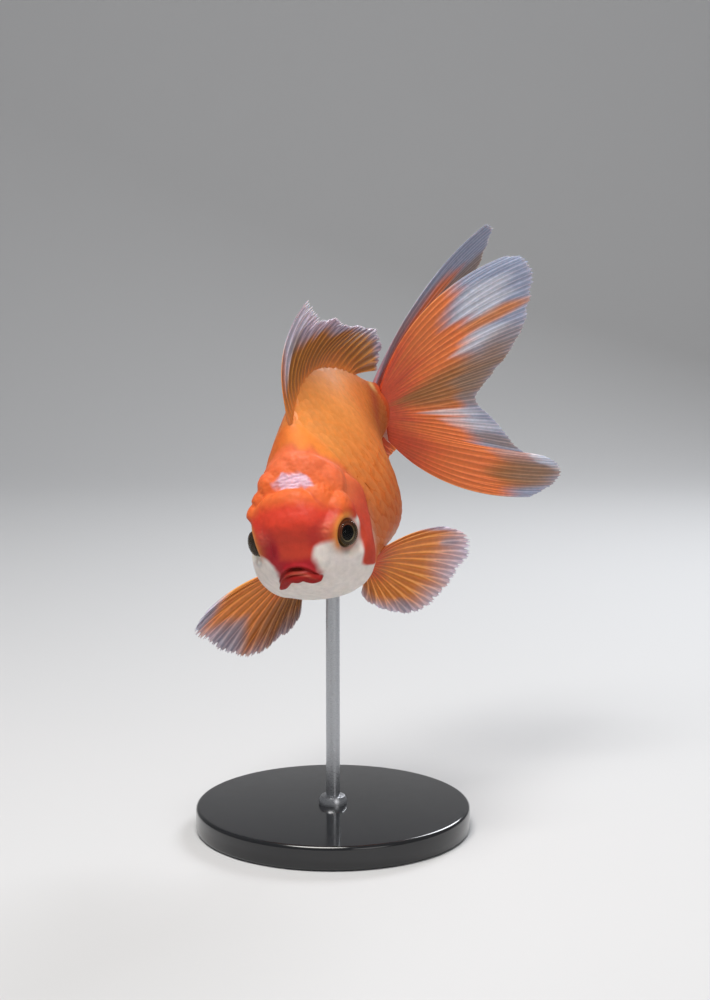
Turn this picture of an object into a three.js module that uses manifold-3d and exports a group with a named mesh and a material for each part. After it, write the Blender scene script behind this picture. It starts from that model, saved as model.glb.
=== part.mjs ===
// Fancy goldfish of the hooded, double-tailed oranda kind: a still, life-size model on a plain display stand.
// Millimetres, +Z up. The fish faces -Y, nose low, and bends its tail round to +X, its own left.
// The origin is the centre of the stand's underside.
//
// The fish is first modelled straight and level, in "fish space": x to its left, y back from the snout
// tip, z up. pose() then lays that space along a curved backbone, so that every part bends with the body.
import * as THREE from "three";
import { mergeVertices } from "three/addons/utils/BufferGeometryUtils.js";
import Module from "manifold-3d";

const wasm = await Module();
wasm.setup();

// ---------------------------------------------------------------- driving dimensions
const BODY_LENGTH = 107; // snout tip to the root of the tail fin
const GAP = 0.35; // clearance left between touching parts
const FACETS_ROUND = 28; // round the body
const FACETS_ALONG = 30; // from snout to tail root
const SLIVER = 0.04; // details smaller than this are dropped

// Body stations: back from the snout, height of the back, of the belly, half width, height of the widest line
const STATIONS = [
  [0, -1, -11.3, 8, -6],
  [6, 7, -18.6, 14.6, -7.5],
  [14, 14, -27.1, 20.6, -9.7],
  [24, 22.3, -29.2, 20.9, -12.3],
  [30, 27.6, -29.7, 20.5, -13.5],
  [36, 32.6, -30.2, 21.9, -15],
  [50, 38.3, -30.9, 24.8, -15],
  [62, 37.6, -29, 23, -12.5],
  [74, 32, -23.5, 15.8, -6],
  [86, 24, -15.5, 9.4, 0],
  [96, 15.8, -10.8, 6, 0.5],
  [BODY_LENGTH, 9.5, -9.1, 4.2, 0.5],
];
const NOSE_ROUNDING = 7; // the sections close over this length at the snout
const TAIL_ROUNDING = 3; // and over this length at the tail root
const BELLY_FULLNESS = 2.3; // an oval belly would be 2
const BACK_PINCH = 0.75; // how far the back narrows to its ridge
const PINCH_FROM = 20; // where behind the snout that narrowing begins
const PINCH_FULL = 50; // and where it is complete

// Where the body is parted
const HEAD_END = 31; // at mid height
const HEAD_END_SLANT = 8.5; // degrees, the nape ahead of the throat
const TRUNK_END = 86;

// Head
const HOOD_DEPTH = 3; // the skull lies this far under the outline where the hood sits
const HOOD_END = 27; // how far back the hood reaches along the middle
const EYE_RADIUS = 5;
const EYE_CENTRE = new THREE.Vector3(14.6, 12.5, 0.8);
const GILL_COVER_RISE = 0.35; // how far its face stands out of the outline
const GILL_COVER_THICKNESS = 1.2;
const LIP_DROOP = 0.06; // how fast the lips fall towards the corners of the mouth

// Pose: where the snout tip is, how the head points, and how far the body turns by the tail root
const SNOUT = new THREE.Vector3(-12, -45, 108.4);
const HEAD_YAW = 10.6;
const HEAD_PITCH = 25;
const HEAD_ROLL = 10.7;
const TAIL_YAW = 16.4;
const TAIL_PITCH = -6.4;
const TAIL_ROLL = -12.8;
const BEND_FROM = 26;
const BEND_TO = 95;

// Stand
const BASE_RADIUS = 50;
const BASE_HEIGHT = 9;
const BASE_EDGE = 1.5;
const ROD_RADIUS = 2.5;
const ROD_DEPTH = 6; // how far the rod goes down into the base
const ROD_TOP = 110; // inside the belly, which trims it

// Fins. Each ray is [place across the root from 0 to 1, turn to the fish's left from straight back,
// rise above straight back, length, arch, curl]: arch and curl are how far the rise and the turn change
// from root to tip.
const FIN_ROOT_THICKNESS = 1.5;
const FIN_TIP_THICKNESS = 0.8;
const FACETS_PER_RAY = 4;
const FACETS_BETWEEN_RAYS = 2;
const FORK = 0.56; // where across the root the tail's fork lies
const FORK_GAP = 0.02; // and the share of the root left open there between the lobes
const TAIL_LEFT_RAYS = [
  [0, 45, 36, 66, -62],
  [0.1, 47, 31, 72, -46],
  [0.22, 49, 22, 64, -26],
  [0.35, 52, 15, 55, -10],
  [0.47, 54, 8, 43, 0],
  [0.56, 56, -2, 35, 0],
  [0.64, 58, -13, 43, 0],
  [0.74, 60, -22, 53, 6],
  [0.84, 62, -21, 65, 18],
  [0.93, 63, -24, 69.5, 40],
  [1, 65, -34, 62, 66],
];
const TAIL_RIGHT_RAYS = [
  [0, 22, 33, 78, -40],
  [0.1, 21, 30, 80, -34],
  [0.22, 19, 26, 71, -24],
  [0.35, 16, 16, 57, -10],
  [0.47, 13, 8, 44, 0],
  [0.56, 10, -3, 36, 0],
  [0.64, 8, -14, 43, 0],
  [0.74, 5, -23, 53, 6],
  [0.84, 2, -24, 64, 16],
  [0.93, 0, -29, 66, 30],
  [1, -2, -39, 58, 46],
];
const DORSAL_RAYS = [
  [0, 22, 61, 43, -50, 84],
  [0.08, 16, 51, 35, -46, 62],
  [0.19, 10, 37, 29, -42, 34],
  [0.32, 5, 24, 28.5, -38, 14],
  [0.47, 2, 11, 27.5, -32, 6],
  [0.62, 0, 1, 34, -28, 0],
  [0.79, 0, 1, 33, -22, 0],
  [0.9, 0, -3, 30, -18, 0],
  [1, 0, -20, 20, -10, 0],
];
const PECTORAL_LEFT_RAYS = [
  [0, 60, 6, 28, -30],
  [0.1, 60, -4, 37, -26],
  [0.22, 60, -14, 38.5, -18],
  [0.36, 60, -27, 34.5, -10],
  [0.5, 60, -40, 32.5, 0],
  [0.64, 60, -56, 31, 0],
  [0.78, 60, -70, 27, 0],
  [0.9, 60, -91, 18, 0],
  [1, 60, -117, 10, 0],
];
const PECTORAL_RIGHT_RAYS = [
  [0, -100, -18, 37, -36],
  [0.1, -100, -23, 45.5, -26],
  [0.22, -100, -30, 45.5, -16],
  [0.36, -100, -43, 44, -8],
  [0.5, -100, -51, 41, 0],
  [0.64, -100, -54, 37, 0],
  [0.78, -100, -58, 30, 0],
  [0.9, -100, -63, 23.5, 0],
  [1, -100, -70, 14, 0],
];
const PELVIC_RAYS = [
  [0, 24, -26, 21, 14],
  [0.3, 21, -32, 23, 10],
  [0.6, 14, -40, 20, 6],
  [1, 6, -50, 13, 0],
];
const ANAL_RAYS = [
  [0, 14, -52, 15, 20],
  [0.3, 12, -44, 18, 16],
  [0.6, 10, -34, 16, 10],
  [1, 8, -24, 10, 6],
];

const COLOURS = {
  orange: 0xf08030,
  red: 0xd8401c,
  white: 0xe6dcd4,
  fin: 0xe8a070,
  eye: 0x201a1c,
  base: 0x2c2320,
  rod: 0xb8bcc0,
};

// ---------------------------------------------------------------- small helpers
const radians = THREE.MathUtils.degToRad;
const ease = (x) => THREE.MathUtils.smoothstep(x, 0, 1);
const between = (x, low, high) => THREE.MathUtils.clamp((x - low) / (high - low), 0, 1);

// A smooth curve through [x, y] pairs, as a function of x.
function curveThrough(pairs) {
  const slope = pairs.map((_, i) => {
    const [x0, y0] = pairs[Math.max(i - 1, 0)];
    const [x1, y1] = pairs[Math.min(i + 1, pairs.length - 1)];
    return (y1 - y0) / (x1 - x0);
  });
  return (x) => {
    let i = pairs.findIndex(([px]) => px >= x);
    i = i < 0 ? pairs.length - 1 : Math.max(i, 1);
    const [x0, y0] = pairs[i - 1];
    const [x1, y1] = pairs[i];
    const span = x1 - x0;
    const t = between(x, x0, x1);
    return (
      (2 * t ** 3 - 3 * t ** 2 + 1) * y0 +
      (t ** 3 - 2 * t ** 2 + t) * span * slope[i - 1] +
      (3 * t ** 2 - 2 * t ** 3) * y1 +
      (t ** 3 - t ** 2) * span * slope[i]
    );
  };
}

// A geometry with every vertex moved by place(vertex).
function moved(geometry, place) {
  const at = geometry.getAttribute("position");
  const v = new THREE.Vector3();
  for (let i = 0; i < at.count; i++) {
    v.fromBufferAttribute(at, i);
    v.copy(place(v));
    at.setXYZ(i, v.x, v.y, v.z);
  }
  return geometry;
}

// A closed three.js geometry as a solid that can be joined and cut.
function solid(geometry) {
  const bare = geometry.clone();
  bare.deleteAttribute("normal");
  bare.deleteAttribute("uv");
  const merged = mergeVertices(bare, 1e-4);
  return new wasm.Manifold(
    new wasm.Mesh({
      numProp: 3,
      vertProperties: new Float32Array(merged.attributes.position.array),
      triVerts: new Uint32Array(merged.index.array),
    }),
  );
}

// The solid as a geometry again, without the slivers a cut leaves.
function geometryOf(shape) {
  const mesh = shape.simplify(SLIVER).getMesh();
  const points = new Float32Array(mesh.numVert * 3);
  for (let i = 0; i < mesh.numVert; i++) {
    points.set(mesh.vertProperties.subarray(i * mesh.numProp, i * mesh.numProp + 3), i * 3);
  }
  return new THREE.BufferGeometry()
    .setAttribute("position", new THREE.BufferAttribute(points, 3))
    .setIndex(new THREE.BufferAttribute(new Uint32Array(mesh.triVerts), 1));
}

const joined = (shapes) => shapes.reduce((a, b) => a.add(b));

// An ellipsoid at centre, with its three radii.
function ellipsoid(centre, radii, facets = 16) {
  const ball = new THREE.SphereGeometry(1, facets, Math.round(facets * 0.7));
  return solid(moved(ball, (v) => v.multiply(radii).add(centre)));
}

function box(low, high) {
  const block = new THREE.BoxGeometry(1, 1, 1);
  const size = high.clone().sub(low);
  const middle = high.clone().add(low).multiplyScalar(0.5);
  return solid(moved(block, (v) => v.multiply(size).add(middle)));
}

// ---------------------------------------------------------------- the pose
function orientation(back) {
  const bend = ease(between(back, BEND_FROM, BEND_TO));
  const yaw = radians(HEAD_YAW + TAIL_YAW * bend);
  const pitch = radians(HEAD_PITCH + TAIL_PITCH * bend);
  const roll = radians(HEAD_ROLL + TAIL_ROLL * bend);
  return new THREE.Matrix4()
    .makeRotationZ(-yaw)
    .multiply(new THREE.Matrix4().makeRotationX(pitch))
    .multiply(new THREE.Matrix4().makeRotationY(-roll));
}

// The backbone, as points one millimetre apart from the snout to the tail root.
const BACKBONE = [SNOUT.clone()];
for (let back = 1; back <= BODY_LENGTH; back++) {
  const step = new THREE.Vector3(0, 1, 0).applyMatrix4(orientation(back - 0.5));
  BACKBONE.push(BACKBONE[back - 1].clone().add(step));
}

// Carries a point of fish space to its place in the posed fish.
function pose(p) {
  const back = THREE.MathUtils.clamp(p.y, 0, BODY_LENGTH);
  const i = Math.min(Math.floor(back), BODY_LENGTH - 1);
  const spine = BACKBONE[i].clone().lerp(BACKBONE[i + 1], back - i);
  return new THREE.Vector3(p.x, p.y - back, p.z).applyMatrix4(orientation(back)).add(spine);
}

// ---------------------------------------------------------------- the body
const column = (n) => curveThrough(STATIONS.map((s) => [s[0], s[n]]));
const backHeight = column(1);
const bellyHeight = column(2);
const halfWidth = column(3);
const widestHeight = column(4);

// How open a section is: 0 where the body closes at its ends, 1 along its length.
function openness(back) {
  const nose = between(back, 0, NOSE_ROUNDING);
  const tail = between(BODY_LENGTH - back, 0, TAIL_ROUNDING);
  return Math.sqrt(1 - (1 - nose) ** 2) * Math.sqrt(1 - (1 - tail) ** 2);
}

// A point on the outline of the body: back from the snout, and round from the fish's left, upwards.
function bodyPoint(back, round, grow) {
  const open = openness(back);
  const full = Math.sin(round) > 0 ? 1 : 2 / BELLY_FULLNESS;
  const side = Math.sign(Math.cos(round)) * Math.abs(Math.cos(round)) ** full;
  const rise = Math.sign(Math.sin(round)) * Math.abs(Math.sin(round)) ** full;
  const middle = widestHeight(back);
  const reach = rise > 0 ? backHeight(back) - middle : middle - bellyHeight(back);
  const pinch = rise > 0 ? BACK_PINCH * ease(between(back, PINCH_FROM, PINCH_FULL)) * rise ** 2 : 0;
  return new THREE.Vector3(
    (halfWidth(back) * open * (1 - pinch) + grow) * side,
    back,
    middle + (reach * open + grow) * rise,
  );
}

// How far the skull lies under the outline, to make room for the hood.
function hoodRoom(back, round) {
  const over = ease(between(Math.sin(round), 0.1, 0.55));
  const along = ease(between(back, 3, 10)) * ease(between(HOOD_END + 3 - back, 0, 5));
  return HOOD_DEPTH * over * along;
}

// The whole body as one closed solid, its skin moved out by grow.
function bodySolid(grow, room = () => 0) {
  const ball = new THREE.SphereGeometry(1, FACETS_ROUND, FACETS_ALONG);
  return solid(
    moved(ball, (v) => {
      const share = (1 - THREE.MathUtils.clamp(v.y, -1, 1)) / 2;
      const ring = Math.hypot(v.x, v.z);
      const back = share * BODY_LENGTH;
      const pastEnd = (share * 2 - 1) * grow;
      if (ring < 1e-6) return new THREE.Vector3(0, back + pastEnd, widestHeight(back));
      const round = Math.atan2(v.z, -v.x);
      const p = bodyPoint(back, round, grow - room(back, round));
      return p.setY(back + pastEnd);
    }),
  );
}

const slab = (from, to) => box(new THREE.Vector3(-80, from, -80), new THREE.Vector3(80, to, 80));
// Everything ahead of the slanted parting between head and trunk, moved back by shift.
function aheadOfNape(shift) {
  const block = new THREE.BoxGeometry(160, 200, 160);
  block.translate(0, -100 + shift, 0).rotateX(radians(HEAD_END_SLANT)).translate(0, HEAD_END, 0);
  return solid(block);
}
const WHOLE = bodySolid(0);
const WHOLE_AND_GAP = bodySolid(GAP);
const SKULL = bodySolid(0, hoodRoom);
const SKULL_AND_GAP = bodySolid(GAP, hoodRoom);

// ---------------------------------------------------------------- the head
const SIDES = { left: 1, right: -1 };
const eyeCentre = (side) => EYE_CENTRE.clone().multiply(new THREE.Vector3(side, 1, 1));
const eyeball = (side, grow) => ellipsoid(eyeCentre(side), new THREE.Vector3(1, 1, 1).multiplyScalar(EYE_RADIUS + grow), 16);
const BOTH_SOCKETS = joined([eyeball(1, GAP), eyeball(-1, GAP)]);

// The hood's lobes: [to the side, back, up, half width, half depth, half height], the sided ones mirrored.
const MIDDLE_LOBES = [
  [0, 12.5, 9, 14, 7.5, 6.5],
  [0, 21.5, 16.8, 6, 5, 4.8],
];
const SIDE_LOBES = [
  [11.5, 18.5, 8.5, 6.5, 6, 5],
  [7.5, 24, 17.5, 5, 4.2, 4.2],
  [11.5, 24, 11.5, 5, 4.6, 4.6],
  [15.5, 22.5, 4, 4.5, 5.5, 5],
];
const SHEET_UNDER_LOBES = 0.3; // how far the hood's plain surface stands out of the outline
function hood() {
  const lobe = ([x, y, z, w, d, h], side) =>
    ellipsoid(new THREE.Vector3(x * side, y, z), new THREE.Vector3(w, d, h), 10);
  const lobes = MIDDLE_LOBES.map((l) => lobe(l, 1));
  for (const side of [1, -1]) {
    for (const l of SIDE_LOBES) lobes.push(lobe(l, side));
  }
  const cap = ellipsoid(new THREE.Vector3(0, 15, 13), new THREE.Vector3(21, 13, 14), 16);
  const sheet = cap.intersect(bodySolid(SHEET_UNDER_LOBES));
  const lumps = joined(lobes).intersect(slab(-10, HOOD_END + 2));
  return sheet.add(lumps).subtract(SKULL_AND_GAP).subtract(BOTH_SOCKETS);
}

// A gill cover set into the side of the head; grow makes it larger all round, for cutting its seat.
function gillCover(side, grow) {
  const radii = new THREE.Vector3(12, 8, 12.5).addScalar(grow);
  const region = ellipsoid(new THREE.Vector3(20 * side, 23, -9.5), radii, 18);
  const inner = GILL_COVER_RISE - GILL_COVER_THICKNESS;
  const shell = bodySolid(GILL_COVER_RISE + grow).subtract(bodySolid(inner - grow));
  return region.intersect(shell).subtract(eyeball(side, GAP * 2 - grow));
}

// A lip: a flattened roll that falls towards the corners of the mouth.
function lip(centre, radii) {
  const ball = new THREE.SphereGeometry(1, 20, 12);
  const roll = moved(ball, (v) => {
    v.multiply(radii);
    return new THREE.Vector3(v.x, v.y + v.x ** 2 * LIP_DROOP, v.z - v.x ** 2 * LIP_DROOP).add(centre);
  });
  return solid(roll).subtract(WHOLE_AND_GAP);
}

// ---------------------------------------------------------------- fins
// A fin's sheet: where the point across the root and along the rays lies in fish space.
function finSheet(rays, root) {
  const column = (n) => curveThrough(rays.map((ray) => [ray[0], ray[n] ?? 0]));
  const [turn, rise, reach, arch, curl] = [1, 2, 3, 4, 5].map(column);
  return (across, along) => {
    const yaw = radians(turn(across) + (curl(across) * (along - 1)) / 2);
    const pitch = radians(rise(across) + (arch(across) * (along - 1)) / 2);
    const ray = new THREE.Vector3(
      Math.sin(yaw) * Math.cos(pitch),
      Math.cos(yaw) * Math.cos(pitch),
      Math.sin(pitch),
    );
    return root(across).add(ray.multiplyScalar(reach(across) * along));
  };
}

// The sheet given its thickness, thicker at the root, with the body and a gap cut away.
// It spans the part of the root between from and to.
function fin(rays, root, from = 0, to = 1) {
  const sheet = finSheet(rays, root);
  const facetsAcross = Math.ceil((rays.length - 1) * (to - from)) * FACETS_BETWEEN_RAYS;
  const block = new THREE.BoxGeometry(1, 1, 1, facetsAcross, FACETS_PER_RAY, 1);
  const step = 0.002; // of the sheet, for measuring its slope
  const plate = moved(block, (v) => {
    const across = THREE.MathUtils.lerp(from, to, v.x + 0.5);
    const along = v.y + 0.5;
    const clear = Math.max(along, 0.05);
    const overRoot = sheet(across + step, clear).sub(sheet(across - step, clear));
    const upRay = sheet(across, clear + step).sub(sheet(across, clear - step));
    const normal = overRoot.cross(upRay).normalize();
    const thickness = THREE.MathUtils.lerp(FIN_ROOT_THICKNESS, FIN_TIP_THICKNESS, along);
    return sheet(across, along).addScaledVector(normal, v.z * thickness);
  });
  return solid(plate).subtract(WHOLE_AND_GAP);
}

const straight = (from, to) => (across) => new THREE.Vector3(...from).lerp(new THREE.Vector3(...to), across);
const onRidge = (from, to) => (across) => {
  const back = THREE.MathUtils.lerp(from, to, across);
  return new THREE.Vector3(0, back, backHeight(back) - 1.5);
};

// ---------------------------------------------------------------- the stand
function standBase() {
  const foot = BASE_RADIUS - BASE_EDGE;
  const profile = [
    [0, 0],
    [foot, 0],
    [BASE_RADIUS, BASE_EDGE],
    [BASE_RADIUS, BASE_HEIGHT - BASE_EDGE],
    [foot, BASE_HEIGHT],
    [0, BASE_HEIGHT],
  ].map(([r, z]) => new THREE.Vector2(r, z));
  const disc = new THREE.LatheGeometry(profile, 64);
  return solid(disc.rotateX(Math.PI / 2));
}

function rod(grow) {
  const low = BASE_HEIGHT - ROD_DEPTH - grow;
  const shaft = new THREE.CylinderGeometry(ROD_RADIUS + grow, ROD_RADIUS + grow, ROD_TOP - low, 20);
  return solid(shaft.rotateX(Math.PI / 2).translate(0, 0, (ROD_TOP + low) / 2));
}

// ---------------------------------------------------------------- assembly
const group = new THREE.Group();
function addShape(name, shape, colour) {
  const material = new THREE.MeshStandardMaterial({ color: colour, roughness: 0.5 });
  const mesh = new THREE.Mesh(geometryOf(shape), material);
  mesh.name = name;
  group.add(mesh);
}
const posed = (shape) => solid(moved(geometryOf(shape), pose));
const addPosed = (name, shape, colour) => addShape(name, posed(shape), colour);

const gillSeats = joined([gillCover(1, GAP), gillCover(-1, GAP)]);
addPosed("head", SKULL.intersect(aheadOfNape(0)).subtract(BOTH_SOCKETS).subtract(gillSeats), COLOURS.white);
addPosed("hood", hood().intersect(aheadOfNape(0)).subtract(gillSeats), COLOURS.red);
addPosed("upper_lip", lip(new THREE.Vector3(0, -0.2, -3.2), new THREE.Vector3(7.8, 2.8, 1.5)), COLOURS.red);
addPosed("lower_lip", lip(new THREE.Vector3(0, 0.4, -7.3), new THREE.Vector3(7.6, 2.8, 2.1)), COLOURS.red);
for (const [name, side] of Object.entries(SIDES)) {
  addPosed(`eye_${name}`, eyeball(side, 0), COLOURS.eye);
  addPosed(`gill_cover_${name}`, gillCover(side, 0), COLOURS.white);
}
addPosed("trunk", WHOLE.subtract(aheadOfNape(GAP)).intersect(slab(0, TRUNK_END)), COLOURS.orange);
addPosed("tail_stalk", WHOLE.intersect(slab(TRUNK_END + GAP, BODY_LENGTH + 5)), COLOURS.orange);
addPosed("dorsal_fin", fin(DORSAL_RAYS, onRidge(35, 87)), COLOURS.fin);
addPosed("pectoral_fin_left", fin(PECTORAL_LEFT_RAYS, straight([15, 32, -24], [11.5, 33, -29])), COLOURS.fin);
addPosed("pectoral_fin_right", fin(PECTORAL_RIGHT_RAYS, straight([-15, 32, -24], [-11.5, 33, -29])), COLOURS.fin);
for (const [name, side] of Object.entries(SIDES)) {
  const rays = side > 0 ? TAIL_LEFT_RAYS : TAIL_RIGHT_RAYS;
  const root = straight([1.6 * side, 104, 9], [2.6 * side, 104, -9]);
  addPosed(`tail_upper_lobe_${name}`, fin(rays, root, 0, FORK - FORK_GAP / 2), COLOURS.fin);
  addPosed(`tail_lower_lobe_${name}`, fin(rays, root, FORK + FORK_GAP / 2, 1), COLOURS.fin);
}
for (const [name, side] of Object.entries(SIDES)) {
  const mirrored = (rays) => rays.map(([u, turn, ...rest]) => [u, turn * side, ...rest]);
  const pelvicRoot = straight([9 * side, 48, -28], [4 * side, 53, -29.5]);
  addPosed(`pelvic_fin_${name}`, fin(mirrored(PELVIC_RAYS), pelvicRoot), COLOURS.fin);
  const analRoot = straight([2.5 * side, 80, -17.5], [2.2 * side, 91, -12]);
  addPosed(`anal_fin_${name}`, fin(mirrored(ANAL_RAYS), analRoot), COLOURS.fin);
}
addShape("stand_base", standBase().subtract(rod(GAP)), COLOURS.base);
addShape("stand_rod", rod(0).subtract(posed(WHOLE_AND_GAP)), COLOURS.rod);

export default group;
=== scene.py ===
# %% [markdown]
# # A fancy goldfish on its display stand
# This lesson finishes a life-size oranda, the goldfish with a fleshy hood on its head and a double tail.
# A plain frame of solids is loaded first. It holds the sizes and carries the weight. Everything that is
# seen is then built over it: one skin for all the flesh, a coat of scales, five kinds of fin, two eyes
# and the stand.

# %% The frame
import math

import bmesh
import bpy
import numpy as np
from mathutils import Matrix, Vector, noise


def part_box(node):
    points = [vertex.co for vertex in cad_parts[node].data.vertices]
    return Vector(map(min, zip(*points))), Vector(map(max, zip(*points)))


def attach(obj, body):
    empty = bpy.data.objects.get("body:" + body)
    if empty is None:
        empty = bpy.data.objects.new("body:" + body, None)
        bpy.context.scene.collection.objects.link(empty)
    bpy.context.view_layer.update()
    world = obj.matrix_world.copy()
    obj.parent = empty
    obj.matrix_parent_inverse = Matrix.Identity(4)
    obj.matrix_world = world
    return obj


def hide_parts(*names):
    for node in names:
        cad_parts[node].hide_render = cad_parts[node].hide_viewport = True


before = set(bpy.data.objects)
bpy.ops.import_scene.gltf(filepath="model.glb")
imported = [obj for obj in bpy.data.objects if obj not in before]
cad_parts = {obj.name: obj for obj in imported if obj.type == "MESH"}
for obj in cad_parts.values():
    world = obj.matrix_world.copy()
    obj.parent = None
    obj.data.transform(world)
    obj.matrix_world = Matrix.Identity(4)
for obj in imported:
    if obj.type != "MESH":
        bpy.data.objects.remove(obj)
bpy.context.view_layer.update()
MM = 0.001  # the lesson works in millimetres and turns them into metres at the very end

# %% [markdown]
# ## The camera
# The fish is seen from a little above and almost head on. A long lens keeps the head from growing large
# against the tail. The lens follows from how tall the view is at the fish: the sensor's height is to the
# lens as the height of the view is to the distance.

# %% The camera
VIEW_TARGET = Vector((8, -15, 124)) * MM
VIEW_DISTANCE = 800 * MM
VIEW_HEIGHT = 350 * MM
VIEW_ELEVATION = math.radians(10)
SENSOR = 36

camera_data = bpy.data.cameras.new("camera")
camera_data.sensor_fit = "VERTICAL"
camera_data.sensor_height = SENSOR
camera_data.lens = SENSOR * VIEW_DISTANCE / VIEW_HEIGHT
camera = bpy.data.objects.new("camera", camera_data)
bpy.context.scene.collection.objects.link(camera)
bpy.context.scene.camera = camera
backwards = Vector((0, -math.cos(VIEW_ELEVATION), math.sin(VIEW_ELEVATION)))
camera.location = VIEW_TARGET + VIEW_DISTANCE * backwards
camera.rotation_euler = (math.pi / 2 - VIEW_ELEVATION, 0, 0)
print("lens, mm:", round(camera_data.lens, 1))

# %% [markdown]
# ## The light
# A fish in a tank is lit from above, and its belly falls into shade. One large soft lamp overhead gives
# that, a weak one in front opens the shadows, and one behind edges the thin fins with light. The pale
# room light fills in the rest.

# %% The light
FISH_MIDDLE = Vector((0, 0, 120)) * MM


def lamp(name, place, width, watts, colour):
    data = bpy.data.lights.new(name, "AREA")
    data.shape = "DISK"
    data.size = width
    data.energy = watts
    data.color = colour
    obj = bpy.data.objects.new(name, data)
    obj.location = place
    obj.rotation_euler = (FISH_MIDDLE - Vector(place)).to_track_quat("-Z", "Y").to_euler()
    bpy.context.scene.collection.objects.link(obj)


lamp("key_light", place=(-0.12, -0.22, 0.80), width=0.45, watts=6.6, colour=(1, 0.97, 0.93))
lamp("front_light", place=(0.45, -0.75, 0.35), width=0.5, watts=0.9, colour=(1, 0.98, 0.96))
lamp("rim_light", place=(0.35, 0.6, 0.55), width=0.35, watts=3.4, colour=(0.95, 0.97, 1))

world = bpy.data.worlds.new("room")
bpy.context.scene.world = world
world.use_nodes = True
room = world.node_tree.nodes["Background"].inputs
room["Color"].default_value = (0.89, 0.9, 0.92, 1)
room["Strength"].default_value = 0.25
bpy.context.scene.view_settings.view_transform = "Standard"
print("lamps:", len(bpy.data.lights))

# %% [markdown]
# ## Finishes
# Every finish starts from one principled shader. Its constant values are set on the shader itself, and
# only what varies over the surface, such as colour, roughness and bump, comes through nodes. The colours
# are written as a painter would mix them for the screen and turned into linear light.

# %% Finishes


def linear(code):
    """A colour such as "e08040" in linear light."""
    shares = [int(code[i:i + 2], 16) / 255 for i in (0, 2, 4)]
    return np.array([c / 12.92 if c <= 0.04045 else ((c + 0.055) / 1.055) ** 2.4 for c in shares])


def rgba(code):
    return (*linear(code), 1)


def finish(name, **values):
    """A new material, its principled shader set to values, as (material, nodes, links, shader)."""
    material = bpy.data.materials.new(name)
    material.use_nodes = True
    nodes, links = material.node_tree.nodes, material.node_tree.links
    shader = nodes["Principled BSDF"]
    for socket, value in values.items():
        shader.inputs[socket.replace("_", " ")].default_value = value
    return material, nodes, links, shader


def node(nodes, kind, **settings):
    made = nodes.new("ShaderNode" + kind)
    for key, value in settings.items():
        if hasattr(made, key):
            setattr(made, key, value)
        else:
            made.inputs[key.replace("_", " ")].default_value = value
    return made


def noise_node(nodes, links, scale, detail=3):
    """Noise on the object's own coordinates, scale in waves to the metre."""
    at = node(nodes, "TexCoord")
    made = node(nodes, "TexNoise", Scale=scale, Detail=detail)
    links.new(at.outputs["Object"], made.inputs["Vector"])
    return made.outputs["Fac"]


def spread(nodes, links, value, low, high, low_in=0.3, high_in=0.7):
    """The value stretched from the range low_in..high_in to low..high."""
    made = node(nodes, "MapRange")
    for key, number in (("From Min", low_in), ("From Max", high_in), ("To Min", low), ("To Max", high)):
        made.inputs[key].default_value = number
    links.new(value, made.inputs["Value"])
    return made.outputs["Result"]


def bump(nodes, links, height, depth, below=None):
    """A bump of the given depth in metres, laid over another if one is given."""
    made = node(nodes, "Bump", Strength=1, Distance=depth)
    links.new(height, made.inputs["Height"])
    if below is not None:
        links.new(below, made.inputs["Normal"])
    return made.outputs["Normal"]


def painted(nodes, links, shader, strength=0.12, scale=500):
    """Base colour from the piece's own paint, broken up by a little noise."""
    paint = node(nodes, "Attribute", attribute_name="paint")
    lighten = spread(nodes, links, noise_node(nodes, links, scale), 1 - strength, 1 + strength)
    mixed = node(nodes, "VectorMath", operation="SCALE")
    links.new(paint.outputs["Color"], mixed.inputs[0])
    links.new(lighten, mixed.inputs["Scale"])
    links.new(mixed.outputs["Vector"], shader.inputs["Base Color"])


print("a linear orange:", linear("e88642").round(3))

# %% [markdown]
# ## Meshes as arrays of points
# The pieces here are grown things, so each starts from a bmesh shape with enough faces, whose vertices are
# then carried to their places by a function, as clay is pushed over an armature. The points are read and
# written all at once, as one array, so that a hundred thousand of them take a moment.

# %% Meshes as arrays of points


def points_of(mesh, what="co"):
    flat = np.empty(len(mesh.vertices) * 3, np.float32)
    mesh.vertices.foreach_get(what, flat)
    return flat.reshape(-1, 3).astype(float)


def put_points(mesh, points):
    mesh.vertices.foreach_set("co", np.asarray(points, np.float32).ravel())
    mesh.update()


def mesh_from(bm, name):
    mesh = bpy.data.meshes.new(name)
    bm.to_mesh(mesh)
    bm.free()
    return mesh


def face_outwards(mesh):
    bm = bmesh.new()
    bm.from_mesh(mesh)
    bmesh.ops.recalc_face_normals(bm, faces=bm.faces)
    bm.to_mesh(mesh)
    bm.free()


def put_paint(mesh, colours):
    layer = mesh.color_attributes.new("paint", "FLOAT_COLOR", "POINT")
    full = np.ones((len(colours), 4), np.float32)
    full[:, :3] = np.clip(colours, 0, 1)
    layer.data.foreach_set("color", full.ravel())


bm = bmesh.new()
bmesh.ops.create_cube(bm, size=1)
trial = mesh_from(bm, "trial")
print("a cube as an array of points:", points_of(trial).shape)
bpy.data.meshes.remove(trial)

# %% [markdown]
# ## Putting a piece on the model
# A finished piece is linked to the scene and given its finish. A covered node is no longer shown.

# %% Putting a piece on the model


def show(name, mesh, material, slot, *nodes, smooth=True):
    """Puts a finished piece on the model, in place of the frame's nodes that it covers."""
    obj = bpy.data.objects.new(name, mesh)
    bpy.context.scene.collection.objects.link(obj)
    mesh.materials.append(material)
    if smooth:
        mesh.shade_smooth()
    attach(obj, "root")
    if nodes:
        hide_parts(*nodes)
    triangles = sum(len(face.vertices) - 2 for face in mesh.polygons)
    print(f"{name}: {triangles} triangles")
    return obj


print("nodes to cover:", len(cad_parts))

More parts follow.
